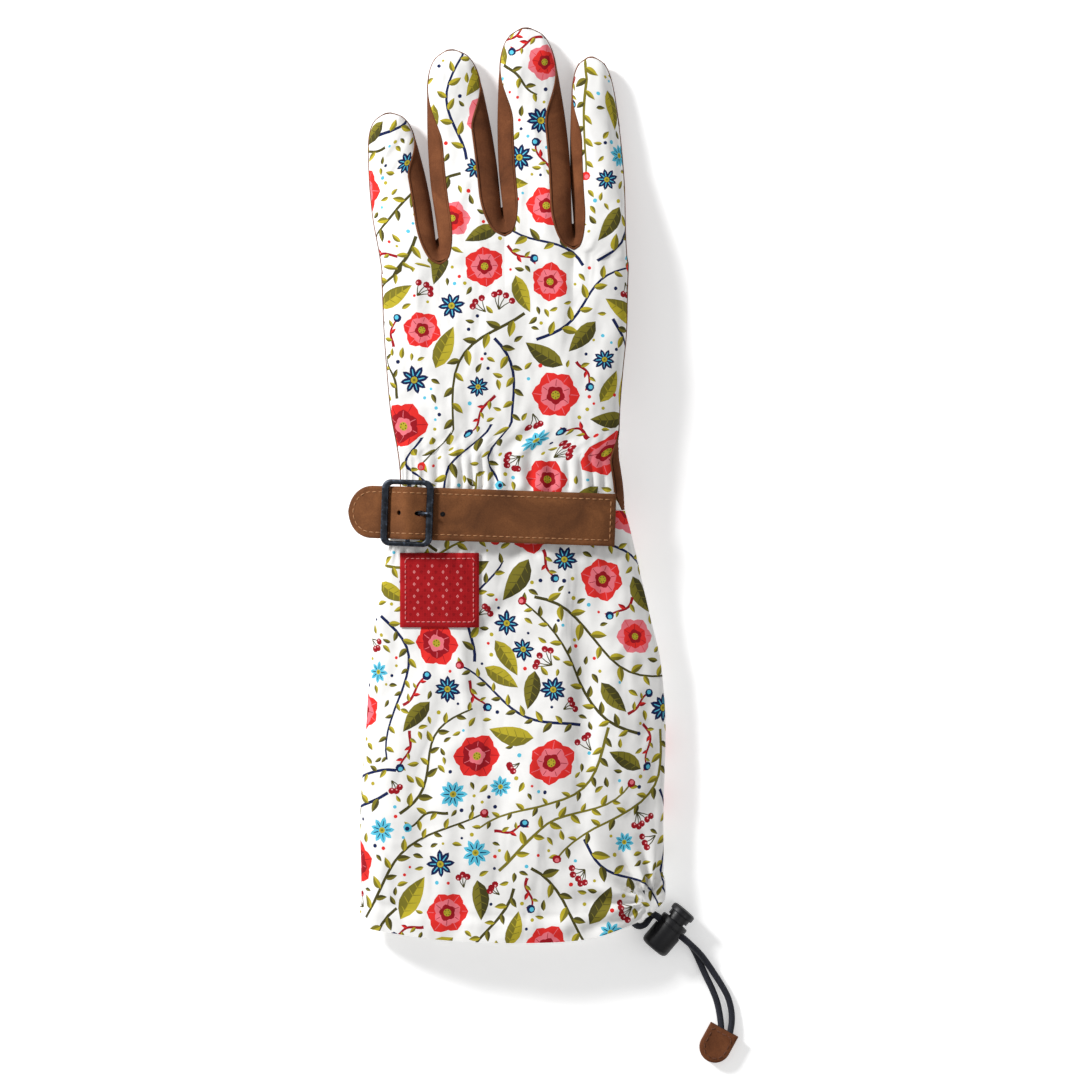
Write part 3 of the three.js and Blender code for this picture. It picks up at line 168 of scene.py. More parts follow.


# %% [markdown]
# Plain weave is two sets of threads that pass over and under each other. Two bands of waves at right
# angles, each lifted where the other dips, give that from the cloth's own flat coordinates. Its second
# output is painted shade, darker in the gaps between the threads, mixed with random slubs of the yarn.

# %% The weave group
def weave_group():
    """Threads over and under each other, from the cloth's flat places, with painted shade between them and
    slubs.
    """
    tree, ins, outs = new_group(
        "woven threads",
        [("Flat", "Vector", None), ("Threads", "Float", 100.0), ("Unevenness", "Float", 0.3)],
        [("Height", "Float"), ("Gap shade and slubs", "Float")],
    )
    scaled = add_node(tree, "ShaderNodeVectorMath",
                      {0: ins.outputs["Flat"], "Scale": ins.outputs["Threads"]}, operation="SCALE")
    parts = add_node(tree, "ShaderNodeSeparateXYZ", {0: scaled.outputs[0]})
    warp = maths(tree, "ABSOLUTE", maths(tree, "SINE", maths(tree, "MULTIPLY", parts.outputs[0], math.pi)))
    weft = maths(tree, "ABSOLUTE", maths(tree, "SINE", maths(tree, "MULTIPLY", parts.outputs[1], math.pi)))
    height = maths(tree, "MAXIMUM", warp, weft)
    slubs = add_node(tree, "ShaderNodeTexNoise", {"Vector": scaled.outputs[0], "Scale": 0.11, "Detail": 3.0})
    uneven = maths(tree, "MULTIPLY", slubs.outputs[0], ins.outputs["Unevenness"])
    # Painted shade: the tone is darker where the weave is low between the threads, plus random slubs.
    tone = maths(tree, "ADD", maths(tree, "MULTIPLY", height, 0.25), uneven)
    tree.links.new(height, outs.inputs["Height"])
    tree.links.new(tone, outs.inputs["Gap shade and slubs"])
    return tree


WEAVE = weave_group()

# %% [markdown]
# Suede is the fibrous side of a hide. Broad patches show where a hand has brushed the nap one way or the
# other, and a fine stretched noise stands for the fibres themselves.

# %% The nap group
def nap_group():
    """A brushed hide's patches and fibres."""
    tree, ins, outs = new_group(
        "brushed nap",
        [("Place", "Vector", None), ("Patches", "Float", 60.0), ("Fibres", "Float", 1500.0)],
        [("Patch", "Float"), ("Fibre", "Float"), ("Height", "Float")],
    )
    patch = add_node(tree, "ShaderNodeTexNoise", {
        "Vector": ins.outputs["Place"], "Scale": ins.outputs["Patches"], "Detail": 4.0, "Roughness": 0.62,
        "Distortion": 0.6})
    fibre = add_node(tree, "ShaderNodeTexNoise", {
        "Vector": ins.outputs["Place"], "Scale": ins.outputs["Fibres"], "Detail": 5.0, "Roughness": 0.7})
    height = maths(tree, "ADD", fibre.outputs[0], maths(tree, "MULTIPLY", patch.outputs[0], 0.6))
    tree.links.new(patch.outputs[0], outs.inputs["Patch"])
    tree.links.new(fibre.outputs[0], outs.inputs["Fibre"])
    tree.links.new(height, outs.inputs["Height"])
    return tree


NAP = nap_group()

# %% [markdown]
# Metal and hard plastic lose their finish on their edges first. Pointiness finds the edges, and a noise
# breaks the worn line up so that it isn't even.

# %% The worn edge group
def wear_group():
    """Where an edge has lost its finish."""
    tree, ins, outs = new_group(
        "worn edges",
        [("Place", "Vector", None), ("Reach", "Float", 0.54), ("Break up", "Float", 0.12)],
        [("Worn", "Float")],
    )
    point = add_node(tree, "ShaderNodeNewGeometry").outputs["Pointiness"]
    speck = add_node(tree, "ShaderNodeTexNoise", {"Vector": ins.outputs["Place"], "Scale": 900.0,
                                                  "Detail": 4.0})
    shift = maths(tree, "MULTIPLY", maths(tree, "SUBTRACT", speck.outputs[0], 0.5), ins.outputs["Break up"])
    above = maths(tree, "SUBTRACT", maths(tree, "ADD", point, shift), ins.outputs["Reach"])
    worn = add_node(tree, "ShaderNodeMapRange", {"Value": above, "From Min": 0.0, "From Max": 0.05})
    tree.links.new(worn.outputs[0], outs.inputs["Worn"])
    return tree


WEAR = wear_group()

# %% [markdown]
# ## Finishes
# Each material places the groups that it needs and keeps its own shader. What is the same all over is set
# on the shader's own sockets.

# %% Helpers for materials
def new_material(name, **values):
    """A material with a Principled shader whose sockets hold these constant values."""
    made = bpy.data.materials.new(name)
    made.use_nodes = True
    shader = made.node_tree.nodes["Principled BSDF"]
    for key, value in values.items():
        shader.inputs[key.replace("_", " ")].default_value = value
    return made, made.node_tree, shader


def place_group(tree, group, inputs):
    """A group's node in a material, with its inputs set or linked."""
    return add_node(tree, "ShaderNodeGroup", inputs, node_tree=group)


def bump(tree, shader, height, strength, distance):
    """Feeds a height to the shader's normal."""
    made = add_node(tree, "ShaderNodeBump", {"Height": height, "Strength": strength, "Distance": distance})
    tree.links.new(made.outputs[0], shader.inputs["Normal"])


def shades(tree, factor, *stops):
    """A colour ramp: stops are (place, colour)."""
    made = add_node(tree, "ShaderNodeValToRGB", {0: factor})
    ramp = made.color_ramp
    ramp.elements[0].position, ramp.elements[0].color = stops[0]
    ramp.elements[1].position, ramp.elements[1].color = stops[-1]
    for place, colour in stops[1:-1]:
        ramp.elements.new(place).color = colour
    return made.outputs[0]


# %% [markdown]
# The printed cloth takes its ink from the mesh, where each motif is cut in with its own colour. The weave
# darkens that a little with painted shade between the threads and with random slubs, and gives the surface
# its threads, over soft creases that run along the cloth.

# %% Printed cloth, and the woven label
def woven_material(name, threads, roughness, depth, thread_gap_shade, crease):
    """Cloth whose ink comes from its mesh: depth is the threads' and crease the soft folds', in metres; the
    fifth value sets how dark the painted shade between the threads gets.
    """
    made, tree, shader = new_material(name, Roughness=roughness, Sheen_Weight=0.02, Sheen_Roughness=0.5,
                                      Specular_IOR_Level=0.1)
    flat = add_node(tree, "ShaderNodeUVMap", uv_map="flat").outputs[0]
    weave = place_group(tree, WEAVE, {"Flat": flat, "Threads": threads, "Unevenness": 0.5})
    ink = add_node(tree, "ShaderNodeVertexColor", layer_name="ink").outputs[0]
    # Painted shade between the threads, with the slubs, darkens the ink a little.
    tone = shades(tree, weave.outputs["Gap shade and slubs"], (0.15, (1 - thread_gap_shade, 1 - thread_gap_shade, 1 - thread_gap_shade, 1)), (0.6, (1, 1, 1, 1)))
    mixed = add_node(tree, "ShaderNodeMix", {0: 1.0, 6: ink, 7: tone}, data_type="RGBA",
                     blend_type="MULTIPLY")
    tree.links.new(mixed.outputs[2], shader.inputs["Base Color"])
    across = add_node(tree, "ShaderNodeMapping", {"Vector": flat, "Scale": (6.5, 2.6, 6.5)}).outputs[0]
    folds = add_node(tree, "ShaderNodeTexNoise", {"Vector": across, "Scale": 1.0, "Detail": 1.6,
                                                  "Distortion": 0.6}).outputs[0]
    soft = add_node(tree, "ShaderNodeBump", {"Height": folds, "Strength": 1.0, "Distance": crease})
    fine = add_node(tree, "ShaderNodeBump", {"Height": weave.outputs["Height"], "Strength": 0.35,
                                             "Distance": depth, "Normal": soft.outputs[0]})
    tree.links.new(fine.outputs[0], shader.inputs["Normal"])
    return made


# The fifth value is how dark the painted shade between threads gets: slight on the cloth, strong on the
# label.
CLOTH_FINISH = woven_material("printed cloth", 200.0, 0.86, 0.00012, 0.1, 0.0026)
LABEL_FINISH = woven_material("woven label", 140.0, 0.8, 0.0003, 0.45, 0.0)

# %% [markdown]
# Two hides: the palm's suede is dark and lighter where it is brushed, and the strap's is a little paler
# and yellower.

# %% Suede and strap leather
def hide_material(name, dark, middle, pale, patches):
    """Brushed hide in three shades."""
    made, tree, shader = new_material(name, Roughness=0.92, Sheen_Weight=0.06, Sheen_Roughness=0.45,
                                      Specular_IOR_Level=0.2, Sheen_Tint=pale)
    place = add_node(tree, "ShaderNodeTexCoord").outputs["Object"]
    nap = place_group(tree, NAP, {"Place": place, "Patches": patches, "Fibres": 1700.0})
    patch = maths(tree, "ADD", maths(tree, "MULTIPLY", nap.outputs["Patch"], 0.75),
                  maths(tree, "MULTIPLY", nap.outputs["Fibre"], 0.3))
    colour = shades(tree, patch, (0.36, dark), (0.52, middle), (0.7, pale))
    tree.links.new(colour, shader.inputs["Base Color"])
    bump(tree, shader, nap.outputs["Height"], 0.6, 0.00035)
    return made


SUEDE = hide_material("suede", light(80, 45, 25), light(102, 59, 34), light(124, 75, 45), 55.0)
STRAP_HIDE = hide_material("strap leather", light(82, 49, 28), light(106, 65, 37), light(136, 86, 50), 48.0)

# %% [markdown]
# The buckle is steel with a black finish that has rubbed through to a blue-grey on its edges.

# %% Gunmetal
def gunmetal_material():
    """Blackened steel with rubbed edges."""
    made, tree, shader = new_material("worn gunmetal", Specular_IOR_Level=0.5)
    place = add_node(tree, "ShaderNodeTexCoord").outputs["Object"]
    worn = place_group(tree, WEAR, {"Place": place, "Reach": 0.53, "Break up": 0.14}).outputs[0]
    smear = add_node(tree, "ShaderNodeTexNoise", {"Vector": place, "Scale": 260.0, "Detail": 5.0})
    base = shades(tree, smear.outputs[0], (0.35, light(18, 21, 27)), (0.7, light(44, 50, 60)))
    colour = add_node(tree, "ShaderNodeMix", {0: worn, 6: base, 7: light(94, 108, 128)}, data_type="RGBA")
    tree.links.new(colour.outputs[2], shader.inputs["Base Color"])
    rough = shades(tree, smear.outputs[0], (0.3, (0.28, 0.28, 0.28, 1)), (0.7, (0.46, 0.46, 0.46, 1)))
    tree.links.new(rough, shader.inputs["Roughness"])
    tree.links.new(maths(tree, "ADD", maths(tree, "MULTIPLY", worn, 0.3), 0.6), shader.inputs["Metallic"])
    bump(tree, shader, smear.outputs[0], 0.15, 0.0002)
    return made


GUNMETAL = gunmetal_material()

# %% [markdown]
# The cord lock is moulded black plastic with a fine spark-eroded grain, scuffed along its rims. The
# braid of the cord and the twist of the threads are too fine to be drawn, so a fine noise stands for them.

# %% Plastic, cord and thread
def plastic_material():
    """Black plastic with scuffed edges."""
    made, tree, shader = new_material("moulded plastic", Specular_IOR_Level=0.32)
    place = add_node(tree, "ShaderNodeTexCoord").outputs["Object"]
    worn = place_group(tree, WEAR, {"Place": place, "Reach": 0.56, "Break up": 0.1}).outputs[0]
    grain = add_node(tree, "ShaderNodeTexNoise", {"Vector": place, "Scale": 2600.0, "Detail": 2.0})
    colour = add_node(tree, "ShaderNodeMix", {0: worn, 6: light(15, 15, 18), 7: light(52, 54, 62)},
                      data_type="RGBA")
    tree.links.new(colour.outputs[2], shader.inputs["Base Color"])
    rough = shades(tree, grain.outputs[0], (0.3, (0.38, 0.38, 0.38, 1)), (0.7, (0.52, 0.52, 0.52, 1)))
    tree.links.new(rough, shader.inputs["Roughness"])
    bump(tree, shader, grain.outputs[0], 0.25, 0.00008)
    return made


def thread_material(name, dark, pale, scale):
    """Thread or cord in two shades."""
    made, tree, shader = new_material(name, Roughness=0.7, Sheen_Weight=0.1, Specular_IOR_Level=0.3)
    place = add_node(tree, "ShaderNodeTexCoord").outputs["Object"]
    twist = add_node(tree, "ShaderNodeTexNoise", {"Vector": place, "Scale": scale, "Detail": 3.0})
    tree.links.new(shades(tree, twist.outputs[0], (0.35, dark), (0.65, pale)), shader.inputs["Base Color"])
    bump(tree, shader, twist.outputs[0], 0.4, 0.0002)
    return made


PLASTIC = plastic_material()
CORD_FINISH = thread_material("braided cord", light(12, 13, 18), light(36, 39, 52), 2400.0)
TAN_THREAD = thread_material("tan thread", light(150, 102, 64), light(182, 132, 90), 3000.0)
BROWN_THREAD = thread_material("brown thread", light(82, 46, 28), light(112, 66, 42), 3000.0)

# %% [markdown]
# ## The cords
# The drawcord leaves the hem's casing, runs through the lock and lies on the table down to its leather
# tab. Each strand is one smooth curve through the same points as in the model, round as a bootlace.

# %% Strands of the drawcord
CORD_RADIUS = 1.4
CORD_ROUTES = {
    "drawcord_lower": [
        (51.6, -168.6, 15.6), (52.5, -172.6, 15.4), (53.9, -176.6, 14.6), (56.4, -179, 12),
        (59.4, -178.6, 8.6), (62.4, -175.2, 5.6), (64.4, -174.9, 4.95), (67.4, -177.4, 4.95),
        (70.5, -180, 4.95), (73.6, -182.6, 4.95), (76.6, -185.1, 4.95), (79.2, -187.6, 4),
        (81.4, -191.2, 2.2), (83.6, -196, 1.4), (86, -201.4, 1.4), (88.6, -206.8, 1.4),
        (90.8, -212.6, 1.4), (92, -218.4, 1.6), (92.6, -224, 2.3), (92.4, -230, 2.3),
    ],
    "drawcord_upper": [
        (58.2, -163.4, 14.6), (58.9, -167.4, 14.2), (60.2, -171.6, 13), (61.8, -173, 10.6),
        (62.9, -173.7, 8.6), (64.4, -174.9, 8.05), (67.4, -177.4, 8.05), (70.5, -180, 8.05),
        (73.6, -182.6, 8.05), (76.6, -185.1, 8.05), (79.8, -187.9, 7.2), (83.2, -191.4, 4.6),
        (86.4, -195.6, 2.2), (89.6, -200.4, 1.4), (92.8, -205.4, 1.4), (95.6, -210.8, 1.4),
        (97, -216.4, 1.4), (97.2, -221, 1.8), (96.6, -225, 2.3), (95.8, -230, 2.3),
    ],
}


def spline(points, count):
    """Points along a smooth curve through the given ones, centripetal so that it never overshoots."""
    given = np.asarray(points, float)
    ends = [2 * given[0] - given[1], *given, 2 * given[-1] - given[-2]]
    knots = np.concatenate([[0], np.cumsum([np.linalg.norm(b - a) ** 0.5 for a, b in zip(ends, ends[1:])])])
    ends = np.array(ends)
    made = []
    for at in np.linspace(knots[1], knots[-2], count):
        i = min(max(int(np.searchsorted(knots, at, side="right")) - 1, 1), len(ends) - 3)
        t, p = knots[i - 1:i + 3], ends[i - 1:i + 3]
        a = [((t[k + 1] - at) * p[k] + (at - t[k]) * p[k + 1]) / (t[k + 1] - t[k]) for k in range(3)]
        b = [((t[k + 2] - at) * a[k] + (at - t[k]) * a[k + 1]) / (t[k + 2] - t[k]) for k in range(2)]
        made.append(((t[2] - at) * b[0] + (at - t[1]) * b[1]) / (t[2] - t[1]))
    return np.array(made)


def length_of(points):
    """The length of a line through points."""
    return float(np.linalg.norm(np.diff(points, axis=0), axis=1).sum())


def run_of(points):
    """The length along a line up to each of its points."""
    return np.concatenate([[0], np.cumsum(np.linalg.norm(np.diff(points, axis=0), axis=1))])


def unit(vectors):
    """Vectors made one long."""
    return vectors / np.linalg.norm(vectors, axis=-1, keepdims=True)


for strand_name, route in CORD_ROUTES.items():
    line = metres(spline(route, 90))
    curve = bpy.data.curves.new(strand_name + "_braid", "CURVE")
    curve.dimensions = "3D"
    curve.bevel_depth = CORD_RADIUS * MM
    curve.bevel_resolution = 5
    curve.use_fill_caps = True
    thread = curve.splines.new("POLY")
    thread.points.add(len(line) - 1)
    for point, place in zip(thread.points, line):
        point.co = (*place, 1)
    strand = in_scene(strand_name + "_braid", curve)
    curve.materials.append(CORD_FINISH)
    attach(strand, "glove")
    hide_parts(strand_name)
    print(strand_name, round(length_of(line) * 1000, 1), "mm")

# %% [markdown]
# ## The glove's shape
# Every soft piece lies on one form: flattened tubes for the cuff, the hand and each finger, whose widths
# and heights come from short tables. The tables are the model's own, so the sewn pieces fit it.

# %% Sizes of the glove
HAND_WIDTH = 106.0
HAND_LENGTH = 117.5
CUFF_WIDTH = 131.0
CUFF_LENGTH = 185.5
FINGER_LENGTH = 92.0
CLOTH = 1.2
LEATHER = 1.4
SEAM_GAP = 0.3
THUMB_HEIGHT = 11.6
PALM_HEIGHT = THUMB_HEIGHT + 1.0
HAND_THICKNESS = 15.0
CUFF_THICKNESS = 22.0
FINGER_THICKNESS = 13.0
SEAM_LEVEL = 0.45
FULLNESS = 2.4


def table(columns, *rows):
    """A short table's columns by name, each as an array."""
    return dict(zip(columns.split(), np.array(rows, float).T))


HAND = table(
    "along left right low thick",
    (0, -0.9, 0.957, 0.72, 1),
    (0.09, -0.86, 0.942, 0.84, 0.92),
    (0.2, -0.875, 0.91, 0.96, 0.95),
    (0.35, -0.934, 0.91, 1, 1.02),
    (0.5, -0.966, 0.934, 1, 1.05),
    (0.65, -0.99, 0.966, 1, 1.04),
    (0.8, -1.005, 0.974, 1, 0.98),
    (1, -1.026, 0.99, 0.98, 0.9),
)
CUFF = table(
    "along left right low thick",
    (0, -0.728, 0.774, 0.72, 0.682),
    (0.06, -0.762, 0.821, 0.6, 0.7),
    (0.15, -0.814, 0.879, 0.34, 0.78),
    (0.25, -0.873, 0.945, 0.1, 0.88),
    (0.35, -0.899, 1.011, -0.06, 0.97),
    (0.5, -0.927, 1.044, -0.08, 1),
    (0.7, -0.965, 1.03, -0.08, 1.02),
    (0.88, -0.959, 1.03, -0.08, 1.04),
    (1, -0.959, 1.008, -0.08, 1.04),
)
FOLD_DEPTH = 1.6
CUFF_FOLDS = table(
    "across width start stop depth",
    (-0.62, 0.16, 0.3, 0.98, -0.6),
    (-0.2, 0.14, 0.55, 1, 0.45),
    (0.22, 0.12, 0.5, 1, -1),
    (0.48, 0.12, 0.12, 0.9, -0.9),
    (0.7, 0.12, 0.1, 1, 0.7),
)
HEM_EDGE = table(
    "across down",
    (-1, 0.966), (-0.8, 0.978), (-0.4, 0.995), (0.1, 1), (0.5, 0.992), (0.75, 0.965), (0.9, 0.94), (1, 0.905),
)
FORKS = table("across along", (-1, 0.86), (-0.53, 0.897), (0, 1), (0.56, 0.951), (1, 0.9))
PALM_FORK_RISE = 9.0
FORK_DIP = 0.24
FORK_DIP_LENGTH = 34.0
FORK_DIP_WIDTH = 0.26

Finger = namedtuple("Finger", "place name width lean reach outer")
FINGERS = [
    Finger(0, "little", 0.236, -0.098, 0.75, -1),
    Finger(1, "ring", 0.272, -0.09, 0.955, 0),
    Finger(2, "middle", 0.286, -0.058, 1.02, 0),
    Finger(3, "fore", 0.212, -0.04, 0.945, 1),
]
FINGER = table(
    "along width low thick",
    (0, 0.93, 0.98, 1.04),
    (0.15, 0.97, 0.82, 1.04),
    (0.35, 1.02, 0.36, 1.04),
    (0.55, 0.98, 0.04, 1),
    (0.7, 0.9, -0.05, 0.99),
    (0.82, 0.81, -0.04, 0.92),
    (0.91, 0.67, 0.02, 0.74),
    (0.97, 0.44, 0.14, 0.46),
    (1, 0.1, 0.3, 0.1),
)
FORK_BLEND = 18.0
SIDE_EDGES = {"back left": 0.94, "back right": 1.1, "palm": 0.74}
SIDE_STRIP_END = 0.9
SIDE_STRIP_TAPER = 0.34
STRIP_GAP_ANGLE = 0.055
TIP_PATCH = 1.0
TIP_PATCH_START = 0.66
LEAST_REACH = 0.3
LEAST_RISE = 0.15

# %% [markdown]
# Between its rows a table is read on a smooth curve, and a section is a superellipse: a little squarer
# than an ellipse, as cloth tubes are when they lie flat.

# %% Reading the tables
def power(value, exponent):
    """A power that keeps the sign."""
    return np.sign(value) * np.abs(value) ** exponent


def smooth(value):
    """A step from 0 to 1 without corners."""
    held = np.clip(value, 0, 1)
    return held**2 * (3 - 2 * held)


def mix(first, second, share):
    """A value between two, by its share of the second."""
    return first + (second - first) * share


def read(source, column, at, key="along"):
    """A column of a table at any place, on a smooth curve through its rows."""
    keys, values = source[key], source[column]
    at = np.asarray(at, float)
    i = np.clip(np.searchsorted(keys[1:], at), 0, len(keys) - 2)
    before = np.maximum(np.arange(len(keys)) - 1, 0)
    after = np.minimum(np.arange(len(keys)) + 1, len(keys) - 1)
    slopes = (values[after] - values[before]) / (keys[after] - keys[before])
    width = keys[i + 1] - keys[i]
    t = np.clip((at - keys[i]) / width, 0, 1)
    return (
        (1 + 2 * t) * (1 - t) ** 2 * values[i]
        + t * (1 - t) ** 2 * width * slopes[i]
        + t**2 * (3 - 2 * t) * values[i + 1]
        + t**2 * (t - 1) * width * slopes[i + 1]
    )


def angle_of(across):
    """The angle of a section at a place across it."""
    return np.arccos(np.clip(power(across, FULLNESS / 2), -1, 1))


def across_of(angle):
    """How far across a section an angle is, from 1 to -1."""
    return power(np.cos(angle), 2 / FULLNESS)


def up_of(angle):
    """How far up a section an angle is, from -1 to 1."""
    return power(np.sin(angle), 2 / FULLNESS)


def seam_angle(rise):
    """How far a sheet stops short of a side seam, as an angle of its section."""
    return np.arcsin((SEAM_GAP / 2 / rise) ** (FULLNESS / 2))


# %% [markdown]
# Elastic at the wrist and the drawcord at the hem pull the cloth into gathers. The model has the broad
# ones. Here finer ones lie between them, where the strap leaves room for them to rise.

# %% Gathers and folds
GATHER_COUNT = 6
GATHER_DEPTH = 0.8
GATHER_LENGTH = 26.0
HEM_GATHER_COUNT = 12
HEM_GATHER_DEPTH = 0.6
HEM_GATHER_LENGTH = 30.0
FINE_GATHERS = 22
FINE_GATHER_DEPTH = 2.1
FINE_GATHER_REACH = {"hand": 34.0, "cuff": 14.0}
STRAP_Y = -2.7
STRAP_WIDTH = 22.5


def gather(y, angle):
    """The ripples of elastic and drawcord, outwards."""
    wrist = GATHER_DEPTH * np.clip(1 - np.abs(y) / GATHER_LENGTH, 0, 1) ** 1.5
    ripple = np.cos(2 * GATHER_COUNT * angle + np.sin(3 * angle))
    on_back = smooth(4 * np.sin(angle))
    hem = HEM_GATHER_DEPTH * np.clip(1 - (y + CUFF_LENGTH) / HEM_GATHER_LENGTH, 0, 1)
    hem_ripple = np.cos(HEM_GATHER_COUNT * angle + np.sin(2 * angle))
    beside_strap = np.abs(y - STRAP_Y) - STRAP_WIDTH / 2
    reach = np.where(y > 0, FINE_GATHER_REACH["hand"], FINE_GATHER_REACH["cuff"])
    fine = FINE_GATHER_DEPTH * smooth(beside_strap / 4 + 0.4) * np.clip(1 - beside_strap / reach, 0, 1) ** 1.4
    wander = 2.2 * np.sin(3 * angle + 1) + 0.9 * np.sin(7 * angle) + 0.03 * np.abs(y)
    fine_ripple = np.abs(np.cos(FINE_GATHERS * angle + wander)) - 0.6
    return on_back * (wrist * ripple + fine * fine_ripple) + hem * hem_ripple


def fold(y, across):
    """The cuff's broad folds."""
    along = -y / CUFF_LENGTH
    total = 0.0
    for middle, width, start, stop, depth in zip(*CUFF_FOLDS.values()):
        near = np.exp(-(((across - middle) / width) ** 2))
        there = smooth((along - start) / 0.15) * smooth((stop - along) / 0.15 + 0.3)
        total = total + FOLD_DEPTH * depth * near * there
    return total


# %% [markdown]
# The body's section at any height up the glove gives a point for an angle round it. What would sink into
# the table is flattened on it.

# %% The body
def body_at(y):
    """Edges, seam height and thickness of the cuff or hand at y."""
    y = np.asarray(y, float)
    hand = y > 0
    along = np.where(hand, y / HAND_LENGTH, -y / CUFF_LENGTH)

    def value(column):
        return np.where(hand, read(HAND, column, along), read(CUFF, column, along))

    half = np.where(hand, HAND_WIDTH, CUFF_WIDTH) / 2
    low = PALM_HEIGHT * value("low")
    thick = np.where(hand, HAND_THICKNESS, CUFF_THICKNESS) * value("thick")
    return SimpleNamespace(
        left=half * value("left"), right=half * value("right"),
        seam=low + SEAM_LEVEL * thick, up=(1 - SEAM_LEVEL) * thick, down=SEAM_LEVEL * thick,
    )


def body_point(y, angle, outset=0.0, ripple=1.0):
    """A point of the cuff or hand, with its gathers and folds."""
    y, angle = np.broadcast_arrays(np.asarray(y, float), np.asarray(angle, float))
    s = body_at(y)
    up = up_of(angle)
    rise = np.where(up > 0, s.up, s.down) + outset
    folds = np.where((up > 0) & (y < 0), fold(y, across_of(angle)) * up, 0)
    z = s.seam + rise * up + ripple * gather(y, angle) * up + folds
    x = (s.left + s.right) / 2 + ((s.right - s.left) / 2 + outset) * across_of(angle)
    return np.stack([x, y, np.maximum(z, 0)], -1)


def body_across(x, y):
    """How far across the body a place is, from -1 to 1."""
    s = body_at(y)
    return np.clip((2 * x - s.left - s.right) / (s.right - s.left), -1, 1)


# %% [markdown]
# The hand's back and palm reach up to the line of the forks. The palm's leather wraps onto the back at the
# thumb's side of the wrist, and the back sinks a little towards each fork.

# %% The hand
PALM_WRAP_ANGLE = 0.42
PALM_WRAP_MIDDLE = 14.0
PALM_WRAP_LENGTH = 24.0


def palm_wrap(y):
    """How far the palm's leather wraps onto the back, as an angle."""
    return PALM_WRAP_ANGLE * smooth(1.35 - 1.35 * np.abs(y - PALM_WRAP_MIDDLE) / PALM_WRAP_LENGTH)


def fork_line(across, side):
    """How far up the hand reaches at a place across it."""
    rise = PALM_FORK_RISE * (1 - np.abs(across) ** 3) if side < 0 else 0.0
    return HAND_LENGTH * np.interp(across, FORKS["across"], FORKS["along"]) + rise


def fork_nearness(across):
    """1 at a fork and 0 away from it."""
    inner = np.abs(np.asarray(across, float)[..., None] - FORKS["across"][1:-1]).min(-1)
    return np.clip(1 - inner / FORK_DIP_WIDTH, 0, 1) ** 2


def hand_point(row, across, side, ripple=1.0):
    """A point of the back (side 1) or palm (side -1), with row 0 at the wrist and 1 at the forks."""
    row, across = np.broadcast_arrays(np.asarray(row, float), np.asarray(across, float))
    line = fork_line(across, side)
    y = mix(SEAM_GAP / 2, line, row)
    level = np.minimum(y, HAND_LENGTH)
    s = body_at(level)
    wrap = palm_wrap(y)
    edge = seam_angle(s.up if side > 0 else s.down) * (1 + 1.5 * wrap / PALM_WRAP_ANGLE)
    turn = angle_of(across) / math.pi
    if side > 0:
        angle = wrap + edge + turn * (math.pi - wrap - 2 * edge)
    else:
        angle = wrap - edge - turn * (math.pi + wrap - 2 * edge)
    made = body_point(level, angle, 0.0, ripple)
    made[..., 1] = y
    dip = FORK_DIP * s.up * fork_nearness(across) * smooth(1 - (line - y) / FORK_DIP_LENGTH)
    made[..., 2] -= side * dip
    return made


# %% [markdown]
# A finger is a tube of its own that leans from its root and comes down to the table. Near its fork it
# takes over from the hand's shape without a step.

# %% A finger
def finger_frame(finger):
    """A finger's root, direction, length and half width."""
    a, b = finger.place, finger.place + 1
    y = HAND_LENGTH * (FORKS["along"][a] + FORKS["along"][b]) / 2
    s = body_at(y)
    share = (FORKS["across"][a] + FORKS["across"][b] + 2) / 4
    length = FINGER_LENGTH * finger.reach
    direction = np.array([HAND_WIDTH * finger.lean, length])
    return SimpleNamespace(
        root=np.array([float(mix(s.left, s.right, share)), y]),
        direction=direction / np.linalg.norm(direction),
        length=length, half=HAND_WIDTH * finger.width / 2,
    )


def finger_heights(finger, along):
    """A finger's lowest height, thickness and lift off the table."""
    lift = (TIP_PATCH + SEAM_GAP) * smooth(3 * along - 1) if finger.outer > 0 else 0 * along
    low = PALM_HEIGHT * read(FINGER, "low", along) + lift
    return low, FINGER_THICKNESS * read(FINGER, "thick", along), lift


def bare_finger_point(finger, distance, angle):
    """A finger's point without the blend into the hand."""
    distance, angle = np.broadcast_arrays(np.asarray(distance, float), np.asarray(angle, float))
    f = finger_frame(finger)
    along = distance / f.length
    reach = np.maximum(LEAST_REACH, f.half * read(FINGER, "width", along))
    low, thick, lift = finger_heights(finger, along)
    up = up_of(angle)
    rise = np.maximum(LEAST_RISE, np.where(up > 0, 1 - SEAM_LEVEL, SEAM_LEVEL) * thick)
    sideways = reach * across_of(angle)
    return np.stack([
        f.root[0] + f.direction[0] * distance + f.direction[1] * sideways,
        f.root[1] + f.direction[1] * distance - f.direction[0] * sideways,
        np.maximum(low + SEAM_LEVEL * thick + rise * up, lift),
    ], -1)


def edge_angle(finger, along, edge, side):
    """Where cloth or palm leather ends on a finger's left (-1) or right (1), from the seam's level."""
    along = np.asarray(along, float)
    thick = finger_heights(finger, along)[1]
    seam = seam_angle(np.maximum(1, SEAM_LEVEL * thick))
    if edge == finger.outer:
        return seam
    full = SIDE_EDGES["palm" if side < 0 else "back left" if edge < 0 else "back right"]
    strip = 2 * STRIP_GAP_ANGLE + full * smooth((SIDE_STRIP_END - along) / SIDE_STRIP_TAPER)
    return np.where(along > SIDE_STRIP_END, seam, strip)


def sheet_angle(finger, along, across, side):
    """The angle of a place across a finger's back (1) or palm (-1)."""
    left = edge_angle(finger, along, -1, side)
    right = edge_angle(finger, along, 1, side)
    return side * (right + angle_of(across) / math.pi * (math.pi - left - right))


